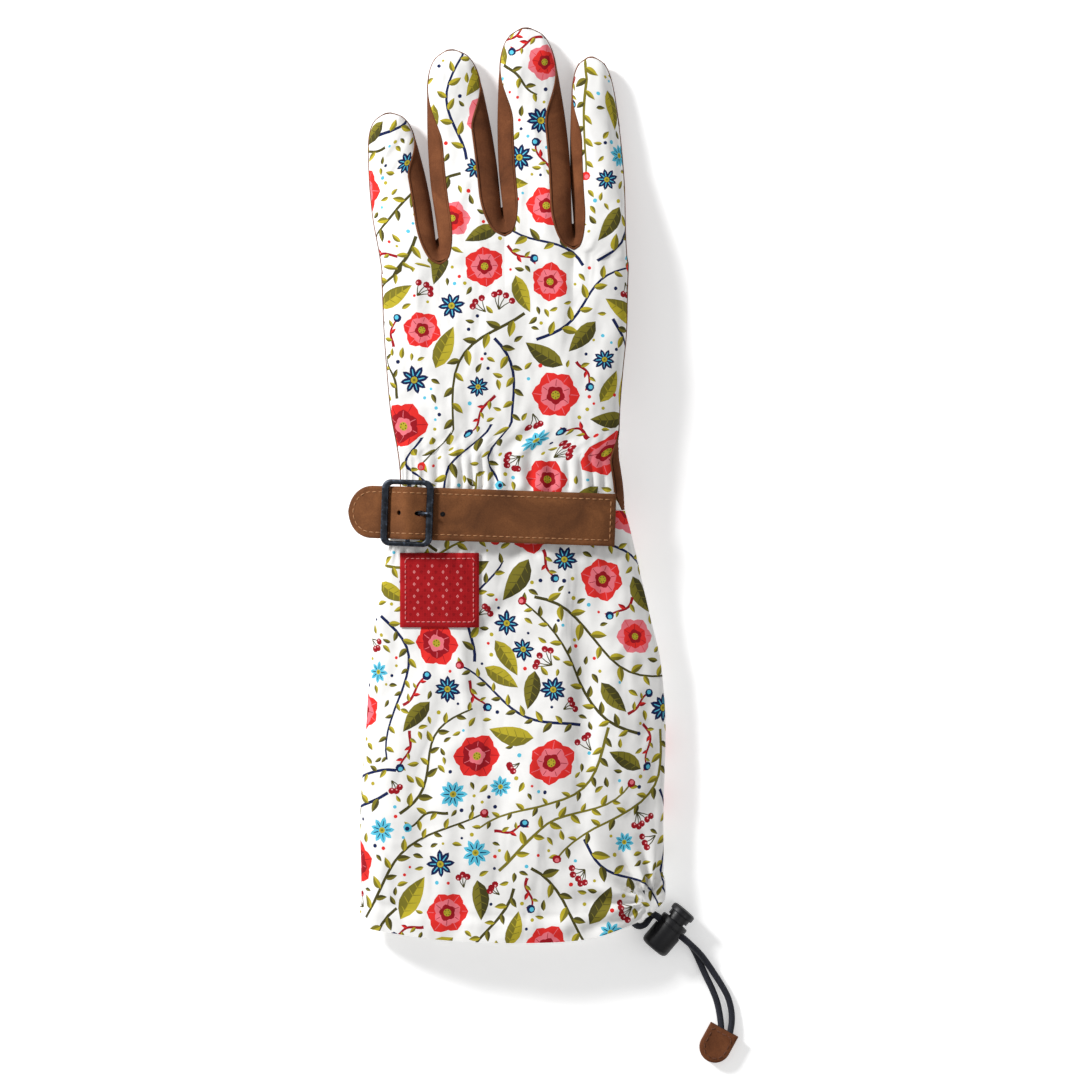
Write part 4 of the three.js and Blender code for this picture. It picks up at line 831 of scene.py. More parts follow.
def across_hand(finger, across):
    """A finger's place across as a place across the hand."""
    a, b = FORKS["across"][finger.place], FORKS["across"][finger.place + 1]
    return mix(a, b, (np.asarray(across, float) + 1) / 2)


def start_of(finger, across, side):
    """Where a finger's sheet leaves the hand, as a distance from the finger's root."""
    f = finger_frame(finger)
    return (fork_line(across_hand(finger, across), side) - f.root[1]) / f.direction[1]


def fork_fade(distance):
    """How much of the hand's shape a finger still has."""
    return (1 - np.sqrt(np.clip(distance / FORK_BLEND, 0, 1))) ** 1.5


def finger_point(finger, along, across, side):
    """A finger's point, blended into the hand at its fork."""
    along, across = np.broadcast_arrays(np.asarray(along, float), np.asarray(across, float))
    start = start_of(finger, across, side)
    distance = mix(start, finger_frame(finger).length, along)
    bare_start = bare_finger_point(finger, start, sheet_angle(finger, 0 * along, across, side))
    step = hand_point(1.0, across_hand(finger, across), side) - bare_start
    bare = bare_finger_point(finger, distance, sheet_angle(finger, along, across, side))
    return bare + step * fork_fade(distance - start)[..., None]


# %% [markdown]
# ## Sewn panels
# A panel is cut flat and then shaped. Here it is a fine grid of points, each with its place on the flat
# cloth. Cutting the print's outlines into the flat panel with a Delaunay triangulation and carrying the
# result onto the shape keeps each motif's edge crisp, where a painted grid would be jagged.

# %% Grids of points
def grid_faces(numbers, flip=False):
    """Four-sided faces of a grid of point numbers."""
    a, b, c, d = (part.ravel() for part in (
        numbers[:-1, :-1], numbers[:-1, 1:], numbers[1:, 1:], numbers[1:, :-1]))
    return np.stack([a, d, c, b] if flip else [a, b, c, d], 1)


def vertex_normals(points, quads):
    """Each point's normal, weighted by the faces round it."""
    across = points[quads[:, 2]] - points[quads[:, 0]]
    along = points[quads[:, 3]] - points[quads[:, 1]]
    normals = np.zeros_like(points)
    for k in range(4):
        np.add.at(normals, quads[:, k], np.cross(across, along))
    return normals / np.maximum(np.linalg.norm(normals, axis=1, keepdims=True), 1e-12)


def edge_loops(faces):
    """Closed loops of point numbers round a mesh and its holes, with the mesh on their left."""
    edges = set()
    for face in faces:
        edges.update(zip(face, (*face[1:], face[0])))
    following = {a: b for a, b in edges if (b, a) not in edges}
    loops = []
    while following:
        first, at = following.popitem()
        loop = [first]
        while at != first:
            loop.append(at)
            at = following.pop(at)
        loops.append(loop)
    return sorted(loops, key=len, reverse=True)


# %% [markdown]
# The flat triangulation is carried onto the shape by finding, for each of its points, the grid triangle
# that holds it. The underside of the cloth has a coarser mesh of its own, joined round the cut edges.

# %% Making a panel
def laid_flat(points, middle, forward=(0.0, 1.0)):
    """Each grid point's length across from the middle column, and its place along a direction."""
    ahead = points[..., :2] @ np.asarray(forward)
    steps = (np.diff(points, axis=1) ** 2).sum(-1) - np.diff(ahead, axis=1) ** 2
    arc = np.cumsum(np.sqrt(np.maximum(steps, 1e-6)), axis=1)
    arc = np.concatenate([np.zeros((len(points), 1)), arc], axis=1)
    return arc - arc[:, middle:middle + 1], ahead


def rolled_flat(points):
    """Flat places of a grid whose rows bend out of the plan, from its middle column's own length."""
    middle = points.shape[1] // 2
    steps = np.linalg.norm(np.diff(points, axis=1), axis=2)
    across = np.concatenate([np.zeros((len(points), 1)), np.cumsum(steps, axis=1)], axis=1)
    along = np.linalg.norm(np.diff(points, axis=0), axis=2).mean(1)
    along = np.concatenate([[0], np.cumsum(along)])
    across -= across[:, middle:middle + 1]
    return np.stack([across, np.broadcast_to(along[:, None], across.shape)], -1)


class Panel:
    """A piece of cloth or hide: its shape's points, their places on the flat, and its wall."""

    def __init__(self, points, flat, quads, wall, relief=None):
        self.quads = quads
        a, b, c, d = (flat[quads[:, k]] for k in range(4))
        turn = (c - a)[:, 0] * (d - b)[:, 1] - (c - a)[:, 1] * (d - b)[:, 0]
        self.flat = flat * (1 if turn.sum() > 0 else -1, 1)
        if relief is None:
            self.outer = points.copy()
        else:
            self.outer = points + vertex_normals(points, quads) * (relief * self.from_edge())[:, None]
        self.outer[:, 2] = np.maximum(self.outer[:, 2], 0)
        self.normals = vertex_normals(self.outer, quads)
        self.inner = self.outer - self.normals * np.reshape(np.broadcast_to(wall, len(points)), (-1, 1))
        self.inner[:, 2] = np.maximum(self.inner[:, 2], 0.2)
        a, b, c, d = quads.T
        self.triangles = np.concatenate([np.stack([a, b, c], 1), np.stack([a, c, d], 1)])
        self.finder = BVHTree.FromPolygons([(u, v, 0.0) for u, v in self.flat.tolist()],
                                           self.triangles.tolist())

    def from_edge(self, reach=6.0):
        """0 at the panel's edge and 1 beyond the reach, so that wrinkles don't open the seams."""
        edge = self.flat[edge_loops(self.quads.tolist())[0]]
        near = [np.sqrt(((part[:, None] - edge[None]) ** 2).sum(-1)).min(1)
                for part in np.array_split(self.flat, 40)]
        return smooth(np.concatenate(near) / reach)

    def weights(self, places, plan=False):
        """The triangle that holds each flat place (or place in the plan), and its corners' shares."""
        grid, finder = self.flat, self.finder
        if plan:
            grid = self.outer[:, :2]
            finder = BVHTree.FromPolygons([(x, y, 0.0) for x, y in grid.tolist()], self.triangles.tolist())
        places = np.asarray(places, float)
        found = [finder.find_nearest(Vector((u, v, 0.0)))[2] for u, v in places.tolist()]
        corners = self.triangles[found]
        a, b, c = (grid[corners[:, k]] for k in range(3))
        ab, ac, ap = b - a, c - a, places - a
        area = ab[:, 0] * ac[:, 1] - ab[:, 1] * ac[:, 0]
        area = np.where(np.abs(area) < 1e-12, 1e-12, area)
        second = (ap[:, 0] * ac[:, 1] - ap[:, 1] * ac[:, 0]) / area
        third = (ab[:, 0] * ap[:, 1] - ab[:, 1] * ap[:, 0]) / area
        shares = np.clip(np.stack([1 - second - third, second, third], 1), 0, 1)
        return corners, shares / shares.sum(1, keepdims=True)

    def carried(self, values, places, plan=False):
        """Values of the grid at flat places, or at places in the plan."""
        corners, shares = self.weights(places, plan)
        return (values[corners] * shares[..., None]).sum(1)


def wound(polygon):
    """A polygon's points, anticlockwise."""
    p = np.asarray(polygon, float)
    q = np.roll(p, -1, axis=0)
    return p if (p[:, 0] * q[:, 1] - p[:, 1] * q[:, 0]).sum() > 0 else p[::-1]


def cut_flat(spots, outline, holes=(), shapes=()):
    """Triangulates a flat panel: its points, triangles, the last shape over each, and where points went."""
    points = [Vector((float(u), float(v))) for u, v in spots]
    rings = [list(outline)]
    for polygon in (*holes, *(shape[1] for shape in shapes)):
        rings.append(list(range(len(points), len(points) + len(polygon))))
        points.extend(Vector((float(u), float(v))) for u, v in wound(polygon))
    found, _, triangles, came_from, _, over = delaunay_2d_cdt(points, [], rings, 0, 1e-5, True)
    hole_numbers = set(range(1, 1 + len(holes)))
    kept = [i for i, owners in enumerate(over) if 0 in owners and not hole_numbers & set(owners)]
    went = np.zeros(len(points), int)
    for new, olds in enumerate(came_from):
        for old in olds:
            went[old] = new
    faces = [tuple(triangles[i]) for i in kept]
    used = sorted({k for face in faces for k in face})
    number = np.full(len(found), -1)
    number[used] = np.arange(len(used))
    places = np.array([(found[k].x, found[k].y) for k in used])
    faces = [tuple(int(number[k]) for k in face) for face in faces]
    return places, faces, [max(over[i]) - 1 - len(holes) for i in kept], number[went]


def make_object(name, points, faces, material, body="glove"):
    """A mesh that rides on a body."""
    mesh = bpy.data.meshes.new(name)
    mesh.from_pydata(metres(points).tolist(), [], faces)
    mesh.materials.append(material)
    made = in_scene(name, mesh)
    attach(made, body)
    return made


BACK_CELL = 3.2


def sew(name, panel, material, ground="reverse", back="reverse", shapes=(), holes=()):
    """A closed piece of a panel's wall, with the print's shapes cut into its outer face."""
    outline = edge_loops(panel.quads.tolist())[0]
    spots, triangles, over, _ = cut_flat(panel.flat, outline, holes, shapes)
    loops = edge_loops(triangles)
    rim = [k for loop in loops for k in loop]
    taken = {(round(u / BACK_CELL), round(v / BACK_CELL)) for u, v in spots[rim].tolist()}
    inside = []
    for u, v in panel.flat.tolist():
        cell = (round(u / BACK_CELL), round(v / BACK_CELL))
        if cell not in taken:
            taken.add(cell)
            inside.append((u, v))
    ends = np.cumsum([0, *(len(loop) for loop in loops)])
    back_holes = [spots[loop] for loop in loops[1:]]
    back_spots, back_faces, _, went = cut_flat(
        [*spots[rim].tolist(), *inside], range(ends[0], ends[1]), back_holes)
    shift = len(spots)
    faces = [*triangles, *(tuple(shift + k for k in reversed(face)) for face in back_faces)]
    rim_faces = []
    for start, loop in zip(ends, loops):
        for i, a in enumerate(loop):
            j = (i + 1) % len(loop)
            corners = [loop[j], a, shift + went[start + i], shift + went[start + j]]
            if corners[2] != corners[3] and min(corners) >= 0:
                rim_faces.append(tuple(int(k) for k in corners))
    points = np.concatenate([panel.carried(panel.outer, spots), panel.carried(panel.inner, back_spots)])
    made = make_object(name, points, [*faces, *rim_faces], material)
    mesh = made.data
    face_of_loop = np.repeat(np.arange(len(mesh.polygons)), [len(p.vertices) for p in mesh.polygons])
    corner = np.array([k for p in mesh.polygons for k in p.vertices])
    inks = np.array([INKS[shapes[k][0]] if k >= 0 else INKS[ground] for k in over]
                    + [INKS[back]] * (len(mesh.polygons) - len(over)))
    ink = mesh.color_attributes.new("ink", "FLOAT_COLOR", "CORNER")
    ink.data.foreach_set("color", inks[face_of_loop].astype(np.float32).ravel())
    flat = mesh.uv_layers.new(name="flat")
    places = np.concatenate([spots, back_spots])
    flat.data.foreach_set("uv", (places[corner] / 100).astype(np.float32).ravel())
    normals = np.concatenate([panel.carried(panel.normals, spots), -panel.carried(panel.normals, back_spots)])
    normals = normals[corner]
    normals[face_of_loop >= len(faces)] = 0
    mesh.shade_smooth()
    mesh.normals_split_custom_set(normals.tolist())
    print(f"{name:22s} {len(mesh.polygons)} faces")
    return made


# %% [markdown]
# ## The print
# A printed bolt in the manner of a garden cotton: layered blossoms, daisies, two-tone leaves, fine vines,
# ferns and berries on white. Each motif is a few flat polygons in its own ink, and every panel is cut
# from another place of the bolt, so that no seam's pattern lines up.

# %% Motifs
def turned(points, angle, place=(0.0, 0.0), size=1.0):
    """Flat points, turned, scaled and moved."""
    c, s = math.cos(angle), math.sin(angle)
    return np.asarray(points, float) @ np.array([[c, s], [-s, c]]) * size + np.asarray(place)


def disc(place, radius, count=10, uneven=0.0, chance=None):
    """A round shape, uneven where chance is given."""
    angles = np.linspace(0, 2 * math.pi, count, endpoint=False)
    radii = [radius * (1 + (chance.uniform(-uneven, uneven) if chance else 0)) for _ in angles]
    return np.stack([np.cos(angles) * radii, np.sin(angles) * radii], 1) + np.asarray(place)


def petal(length, width, blunt=0.6, notch=0.0, count=6):
    """A petal from the origin along +X."""
    t = np.linspace(0, 1, count)
    side = width / 2 * np.sin(math.pi * t ** blunt) ** 0.8
    up = np.stack([length * t, side], 1)
    tip = [(length * (1 - notch), 0.0)] if notch else []
    return np.concatenate([up[:-1], tip or up[-1:], (up * (1, -1))[1:-1][::-1]])


def leaf_halves(length, width, bend):
    """The two halves of a leaf along +X, parted by a midrib."""
    t = np.linspace(0, 1, 7)
    rib = np.stack([length * t, bend * length * t * (1 - t)], 1)
    half = width / 2 * np.sin(math.pi * t ** 0.8) ** 0.9
    return [np.concatenate([rib, (rib + np.stack([0 * t, sign * half], 1))[1:-1][::-1]]) for sign in (1, -1)]


def ribbon(points, width):
    """A line of some width, tapering a little to its end."""
    p = np.asarray(points, float)
    along = np.gradient(p, axis=0)
    side = np.stack([-along[:, 1], along[:, 0]], 1) / np.linalg.norm(along, axis=1, keepdims=True)
    taper = np.linspace(1, 0.55, len(p))[:, None] * width / 2
    return np.concatenate([p + side * taper, (p - side * taper)[::-1]])


def blossom(chance, radius, outer, inner, heart):
    """Three rings of petals round a heart of seeds."""
    shapes = []
    turn = chance.uniform(0, 6.28)
    for ring, (share, ink, count) in enumerate([(1, outer, 6), (0.68, inner, 6), (0.4, heart, 5)]):
        for k in range(count):
            angle = turn + ring * 0.5 + 2 * math.pi * k / count + chance.uniform(-0.07, 0.07)
            size = radius * share * chance.uniform(0.94, 1.04)
            shapes.append((ink, turned(petal(size, size * 1.0, 0.75, 0.07), angle)))
            if ring < 2:
                vein = ribbon([(size * 0.35, 0), (size * 0.6, 0.02 * size), (size * 0.86, 0)], 0.035 * radius)
                shapes.append((inner if ring == 0 else heart, turned(vein, angle)))
    shapes.append(("mustard", disc((0, 0), radius * 0.17, 9)))
    for k in range(6):
        shapes.append(("dark olive", disc(turned([(radius * 0.11, 0)], k * 1.05)[0], radius * 0.028, 5)))
    return shapes, [(0, 0, radius * 1.02)]


def daisy(chance, radius, ink, shade):
    """Narrow petals with a darker line in each."""
    count = chance.choice([8, 9, 10])
    shapes = []
    for k in range(count):
        angle = 2 * math.pi * k / count + chance.uniform(-0.08, 0.08)
        size = radius * chance.uniform(0.9, 1.05)
        shapes.append((ink, turned(petal(size, size * 0.42, 1.2), angle)))
        shapes.append((shade, turned(ribbon([(size * 0.3, 0), (size * 0.72, 0)], 0.09 * radius), angle)))
    shapes.append(("mustard", disc((0, 0), radius * 0.24, 9)))
    shapes.append(("olive", disc((0, 0), radius * 0.1, 6)))
    return shapes, [(0, 0, radius * 1.05)]


def leaf(chance, length, inks):
    """A two-tone leaf with veins."""
    bend = chance.uniform(-0.25, 0.25)
    upper, lower = leaf_halves(length, length * 0.42, bend)
    shapes = [(inks[0], upper), (inks[1], lower)]
    for k in range(1, 5):
        t = k / 5.5
        root = np.array([length * t, bend * length * t * (1 - t)])
        reach = 0.15 * length * math.sin(math.pi * t ** 0.8)
        for sign, ink in ((1, inks[1]), (-1, inks[0])):
            tip = root + (0.6 * reach, sign * reach)
            shapes.append((ink, ribbon([root, (root + tip) / 2, tip], 0.32)))
    return shapes, [(length * s, 0, length * 0.2) for s in (0.2, 0.5, 0.8)]


def vine(chance, length, stem, inks, leaf_size, bud=None):
    """A curving stem with leaves in turn on its two sides."""
    curve, wave, phase = chance.uniform(-0.3, 0.3), chance.uniform(0.05, 0.1), chance.uniform(0, 6)
    t = np.linspace(0, 1, 16)
    rise = length * (curve * t**2 + wave * np.sin(phase + 6 * t) - wave * math.sin(phase))
    line = np.stack([length * t, rise], 1)
    shapes, room = [(stem, ribbon(line, 1.35))], []
    count = max(3, int(length / (leaf_size * 0.72)))
    for k in range(1, count + 1):
        at = k / (count + 0.3)
        root = np.array([np.interp(at, t, line[:, 0]), np.interp(at, t, line[:, 1])])
        ahead = math.atan2(*(np.array([np.interp(at + 0.02, t, line[:, i]) for i in (1, 0)]) - root[::-1]))
        angle = (ahead if at < 0.98 else 0) + (1 if k % 2 else -1) * chance.uniform(0.7, 1.0)
        size = leaf_size * chance.uniform(0.8, 1.1) * (1 - 0.3 * at)
        ink = inks[k % len(inks)]
        upper, lower = leaf_halves(size, size * 0.46, chance.uniform(-0.2, 0.2))
        shapes += [(ink[0], turned(upper, angle, root)), (ink[1], turned(lower, angle, root))]
        room.append((*root, size * 0.75))
    if bud:
        tip = line[-1]
        shapes += [(bud[0], disc(tip, 1.9, 9, 0.08, chance)), (bud[1], disc(tip + (0.3, 0.3), 1.0, 7))]
        room.append((*tip, 2.6))
    return shapes, room


def fern(chance, length, ink):
    """A bent stem with a pair of leaflets at each step."""
    bend = chance.uniform(-0.25, 0.25)
    t = np.linspace(0, 1, 9)
    line = np.stack([length * t, bend * length * t**2], 1)
    shapes, room = [(ink, ribbon(line, 0.7))], []
    for k in range(1, int(length / 2.1)):
        at = k * 2.1 / length
        root = np.array([length * at, bend * length * at**2])
        size = 5.2 * math.sin(math.pi * (0.12 + 0.8 * at)) ** 0.7
        for sign in (1, -1):
            shapes.append((ink, turned(petal(size, 1.25, 0.9), 2 * bend * at + sign * 0.85, root)))
        room.append((*root, 3.4))
    return shapes, room[::2]


def berries(chance, length):
    """A spray of berries on thin stalks."""
    shapes, room = [], []
    for k in range(chance.choice([3, 4, 5])):
        angle = (k - 1.5) * 0.42 + chance.uniform(-0.1, 0.1)
        size = length * chance.uniform(0.75, 1)
        tip = turned([(size, 0)], angle)[0]
        shapes.append(("dark olive", ribbon([(0, 0), tip * 0.5 + (0, 0.3), tip], 0.55)))
        shapes += [("crimson", disc(tip, 1.45, 8)), ("pale pink", disc(tip + (-0.4, 0.45), 0.42, 5))]
        room.append((*tip, 1.8))
    return shapes, [*room, (length * 0.4, 0, 2.0)]


GREENS = [("olive", "mustard"), ("dark olive", "olive"), ("mustard", "olive")]
BLOSSOM_INKS = [("pink", "red", "crimson"), ("red", "crimson", "pink"), ("red", "pink", "crimson")]


def motif(kind, chance):
    """A motif's shapes, and the discs of room that it takes."""
    if kind == "blossom":
        return blossom(chance, chance.uniform(8.5, 11.5), *chance.choice(BLOSSOM_INKS))
    if kind == "daisy":
        return daisy(chance, chance.uniform(4.6, 6.8), *chance.choice([("sky", "navy"), ("navy", "sky")]))
    if kind == "leaf":
        return leaf(chance, chance.uniform(15, 22), chance.choice(GREENS))
    if kind in ("vine", "long vine"):
        bud = chance.choice([None, ("red", "pink"), ("crimson", "pink"), ("sky", "navy")])
        length = chance.uniform(18, 32) if kind == "vine" else chance.uniform(45, 80)
        return vine(chance, length, chance.choice(["dark olive", "navy", "navy", "olive"]),
                    chance.sample(GREENS, 2), chance.uniform(5.4, 8.2), bud)
    if kind == "loose leaf":
        size, ink = chance.uniform(3.4, 5), chance.choice(GREENS)
        upper, lower = leaf_halves(size, size * 0.45, 0.2)
        return [(ink[0], upper), (ink[1], lower)], [(size / 2, 0, size * 0.45)]
    if kind == "sprig":
        return vine(chance, chance.uniform(12, 20), "crimson", [("red", "crimson"), ("olive", "mustard")],
                    4.2, ("navy", "sky"))
    if kind == "fern":
        return fern(chance, chance.uniform(17, 28), chance.choice(["navy", "navy", "dark olive"]))
    if kind == "berries":
        return berries(chance, chance.uniform(5, 8))
    return [(chance.choice(["red", "navy", "mustard", "sky"]), disc((0, 0), chance.uniform(0.6, 1.0), 7))], \
        [(0, 0, 1.2)]


# %% [markdown]
# Large motifs are laid first and small ones fill what is left. A motif stays only where its own discs of
# room are clear of those laid before it.

# %% Laying out the bolt
# Each kind of motif, how many to a square millimetre, and how far it stays from the others.
CROWD = [
    ("blossom", 0.00052, 4.0), ("long vine", 0.0016, -1.6), ("daisy", 0.0007, 0.6),
    ("leaf", 0.0014, -1.0), ("vine", 0.0034, -1.4), ("fern", 0.0007, -0.4), ("sprig", 0.002, -0.6),
    ("berries", 0.0016, -0.2), ("loose leaf", 0.005, -0.2), ("dot", 0.006, 0.2),
]
TRIES = 40


def printed(flat, seed):
    """The print's shapes over a panel's flat places."""
    chance = random.Random(seed)
    low, high = flat.min(0) - 4, flat.max(0) + 4
    area = float(np.prod(high - low))
    discs = np.zeros((0, 3))
    shapes = []
    for kind, density, ease in CROWD:
        for _ in range(int(area * density) + 1):
            parts, room = motif(kind, chance)
            room = np.array(room, float)
            for _ in range(TRIES):
                place = (chance.uniform(low[0], high[0]), chance.uniform(low[1], high[1]))
                angle = chance.uniform(0, 2 * math.pi)
                spots = np.concatenate([turned(room[:, :2], angle, place), room[:, 2:]], 1)
                gaps = np.hypot(spots[:, None, 0] - discs[None, :, 0], spots[:, None, 1] - discs[None, :, 1])
                if not discs.size or (gaps > spots[:, None, 2] + discs[None, :, 2] + ease).all():
                    discs = np.concatenate([discs, spots])
                    shapes += [(ink, turned(points, angle, place)) for ink, points in parts]
                    break
    return shapes


def wrinkles(flat, seed, *layers):
    """Soft relief over flat places: layers are (size across, size along, depth)."""
    total = np.zeros(len(flat))
    for k, (across, along, depth) in enumerate(layers):
        for i, (u, v) in enumerate(flat.tolist()):
            total[i] += depth * noise.noise(Vector((u / across, v / along, seed + 7.3 * k)))
    return total


# %% [markdown]
# ## The cuff
# Two panels of print, sewn at both sides. The hem is turned over the drawcord, so its wall thickens into
# a casing there, and a soft groove marks the casing's seam.

# %% The cuff's panels
def flat_grid(rows, columns):
    """The point numbers of a grid."""
    return np.arange((rows + 1) * (columns + 1)).reshape(rows + 1, columns + 1)


CASING_DEPTH = 11.0
CASING_THICKNESS = 5.0
CASING_SWELL = 0.9
PUCKER_PLACE = (62.0, -168.0)
PUCKER_DEPTH, PUCKER_REACH, PUCKERS = 1.6, 34.0, 13
CUFF_WRINKLES = [(30, 90, 4.4), (12, 40, 2.2), (5, 8, 0.5), (60, 9, 0.4)]


def cuff_panel(side, rows, columns, seed):
    """The cuff's upper half (side 1) or lower half (side -1)."""
    across = np.linspace(0, 1, columns + 1)[None]
    row = np.linspace(0, 1, rows + 1)[:, None]
    edge = -CUFF_LENGTH * read(HEM_EDGE, "down", across_of(math.pi * across), key="across")
    y = mix(-SEAM_GAP / 2, edge, row)
    s = body_at(y)
    seam = seam_angle(s.up if side > 0 else s.down)
    angle = side * mix(seam, math.pi - seam, across)
    casing = smooth((edge + CASING_DEPTH - y) / 4)
    groove = -0.35 * np.exp(-(((edge + CASING_DEPTH + 0.4 - y) / 0.9) ** 2))
    points = body_point(y, angle, CASING_SWELL * casing + groove)
    arc, ahead = laid_flat(body_point(y, angle, CASING_SWELL * casing, 0.0), columns // 2)
    flat = np.stack([-arc, ahead], -1).reshape(-1, 2)
    near_strap = smooth((np.abs(flat[:, 1] - STRAP_Y) - 9) / 8)
    near_label = smooth((np.abs(points[..., 0].ravel() - LABEL.x) - 14) / 8
                        + (np.abs(points[..., 1].ravel() - LABEL.y) - 13) / 8)
    relief = wrinkles(flat, seed, *CUFF_WRINKLES)
    beside = points[..., 0].ravel() - PUCKER_PLACE[0]
    above = points[..., 1].ravel() - PUCKER_PLACE[1]
    away = np.hypot(beside, above)
    pucker = np.cos(PUCKERS * np.arctan2(above, beside)) * smooth(away / 9)
    relief += PUCKER_DEPTH * np.exp(-((away / PUCKER_REACH) ** 2)) * pucker
    relief *= (0.15 + 0.85 * near_strap) * (0.25 + 0.75 * near_label) * (1 if side > 0 else 0.4)
    wall = mix(CLOTH, CASING_THICKNESS, casing).ravel()
    return Panel(points.reshape(-1, 3), flat, grid_faces(flat_grid(rows, columns), side < 0), wall, relief)


cuff_back = cuff_panel(1, 150, 116, 3)
cuff_under = cuff_panel(-1, 60, 60, 5)


def finished(piece, slot_name, *nodes):
    """Stands a piece for its nodes of the model, by hiding them."""
    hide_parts(*nodes)


def sew_print(node, panel, seed):
    """A panel of the print in its node's place."""
    piece = sew(node + "_print", panel, CLOTH_FINISH, "ground", shapes=printed(panel.flat, seed))
    finished(piece, "printed_cloth", node)


def sew_suede(node, panel, holes=()):
    """A panel of suede in its node's place."""
    finished(sew(node + "_suede", panel, SUEDE, holes=holes), "suede", node)


sew_print("cuff_back", cuff_back, 11)
sew_print("cuff_under", cuff_under, 12)

# %% [markdown]
# ## The hand
# The back and the palm are each one sheet that forks into four fingers. Their grids share the row where
# the fingers leave the hand.

# %% Sheets that fork
def hand_panel(side, rows, columns, along_rows, wall, seed, layers):
    """The hand's back (side 1) or palm (side -1) with its four fingers."""
    stops = -np.cos(math.pi * np.arange(columns + 1) / columns)
    across = np.concatenate([across_hand(f, stops)[(0 if f.outer < 0 else 1):] for f in FINGERS])
    row = np.linspace(0, 1, rows + 1)[:, None] ** 1.1
    hand = hand_point(row, across[None], side)
    arc, ahead = laid_flat(hand_point(row, across[None], side, 0.0), 2 * columns)
    points, flats = [hand.reshape(-1, 3)], [np.stack([arc, ahead], -1).reshape(-1, 2)]
    walls = [np.full(hand[..., 0].size, wall)]
    numbers = np.arange(hand[..., 0].size).reshape(hand.shape[:2])
    quads = [grid_faces(numbers, side < 0)]
    count = numbers.size
    along = np.linspace(0, 1, along_rows + 1)[:, None] ** 0.94
    for finger in FINGERS:
        grid = finger_point(finger, along, stops[None], side)
        first = finger.place * columns
        f = finger_frame(finger)
        across_arc, ahead_f = laid_flat(grid, columns // 2, f.direction)
        base = np.array([arc[-1, first + columns // 2], ahead[-1, first + columns // 2]])
        right = np.array([f.direction[1], -f.direction[0]])
        flat = base + across_arc[..., None] * right \
            + (ahead_f - ahead_f[0, columns // 2])[..., None] * f.direction
        hand_row = np.stack([arc[-1], ahead[-1]], -1)[first:first + columns + 1]
        gone = np.linalg.norm(grid - grid[:1], axis=2)
        flat = flat + (hand_row - flat[0])[None] * (1 - smooth(gone / 22))[..., None]
        lines = np.concatenate([
            numbers[-1:, first:first + columns + 1],
            count + np.arange(along_rows * (columns + 1)).reshape(along_rows, columns + 1)])
        count += along_rows * (columns + 1)
        points.append(grid[1:].reshape(-1, 3))
        flats.append(flat[1:].reshape(-1, 2))
        thin = 0.25 + 0.75 * smooth((1 - along[1:]) / 0.07)
        walls.append(np.broadcast_to(wall * thin, grid[1:, :, 0].shape).ravel())
        quads.append(grid_faces(lines, side < 0))
    points, flat = np.concatenate(points), np.concatenate(flats)
    relief = wrinkles(flat, seed, *layers)
    relief *= 0.15 + 0.85 * smooth((flat[:, 1] - 9) / 8)
    return Panel(points, flat, np.concatenate(quads), np.concatenate(walls), relief)


hand_back = hand_panel(1, 84, 46, 64, CLOTH, 8, [(18, 44, 1.6), (8, 16, 0.8), (3.4, 6, 0.25)])
palm = hand_panel(-1, 50, 18, 44, LEATHER, 9, [(18, 20, 0.5), (6, 7, 0.25)])
sew_print("hand_back", hand_back, 21)

# %% [markdown]
# The palm has a hole where the thumb's root is sewn in. Its outline is known in the plan, so it is carried
# to the flat hide before it is cut.

# %% The palm
HOLE_X, HOLE_Y, HOLE_HALF_WIDTH, HOLE_HALF_LENGTH = 26.0, 36.0, 18.5, 22.5
THUMB_LEAN = -0.2
HOLE_EASE = 0.5
round_hole = np.linspace(0, 2 * math.pi, 80, endpoint=False)
hole = turned(np.stack([(HOLE_HALF_WIDTH + HOLE_EASE) * across_of(round_hole),
                        (HOLE_HALF_LENGTH + HOLE_EASE) * up_of(round_hole)], 1),
              -math.atan(THUMB_LEAN), (HOLE_X, HOLE_Y))
hole_flat = palm.carried(palm.flat, hole, plan=True)
sew_suede("palm", palm, [hole_flat])

# %% [markdown]
# ## Side strips
# A strip of suede runs down one finger's side, round the fork as a soft U, and up the next finger's side.

# %% Side strips
FORK_LAP = 1.8


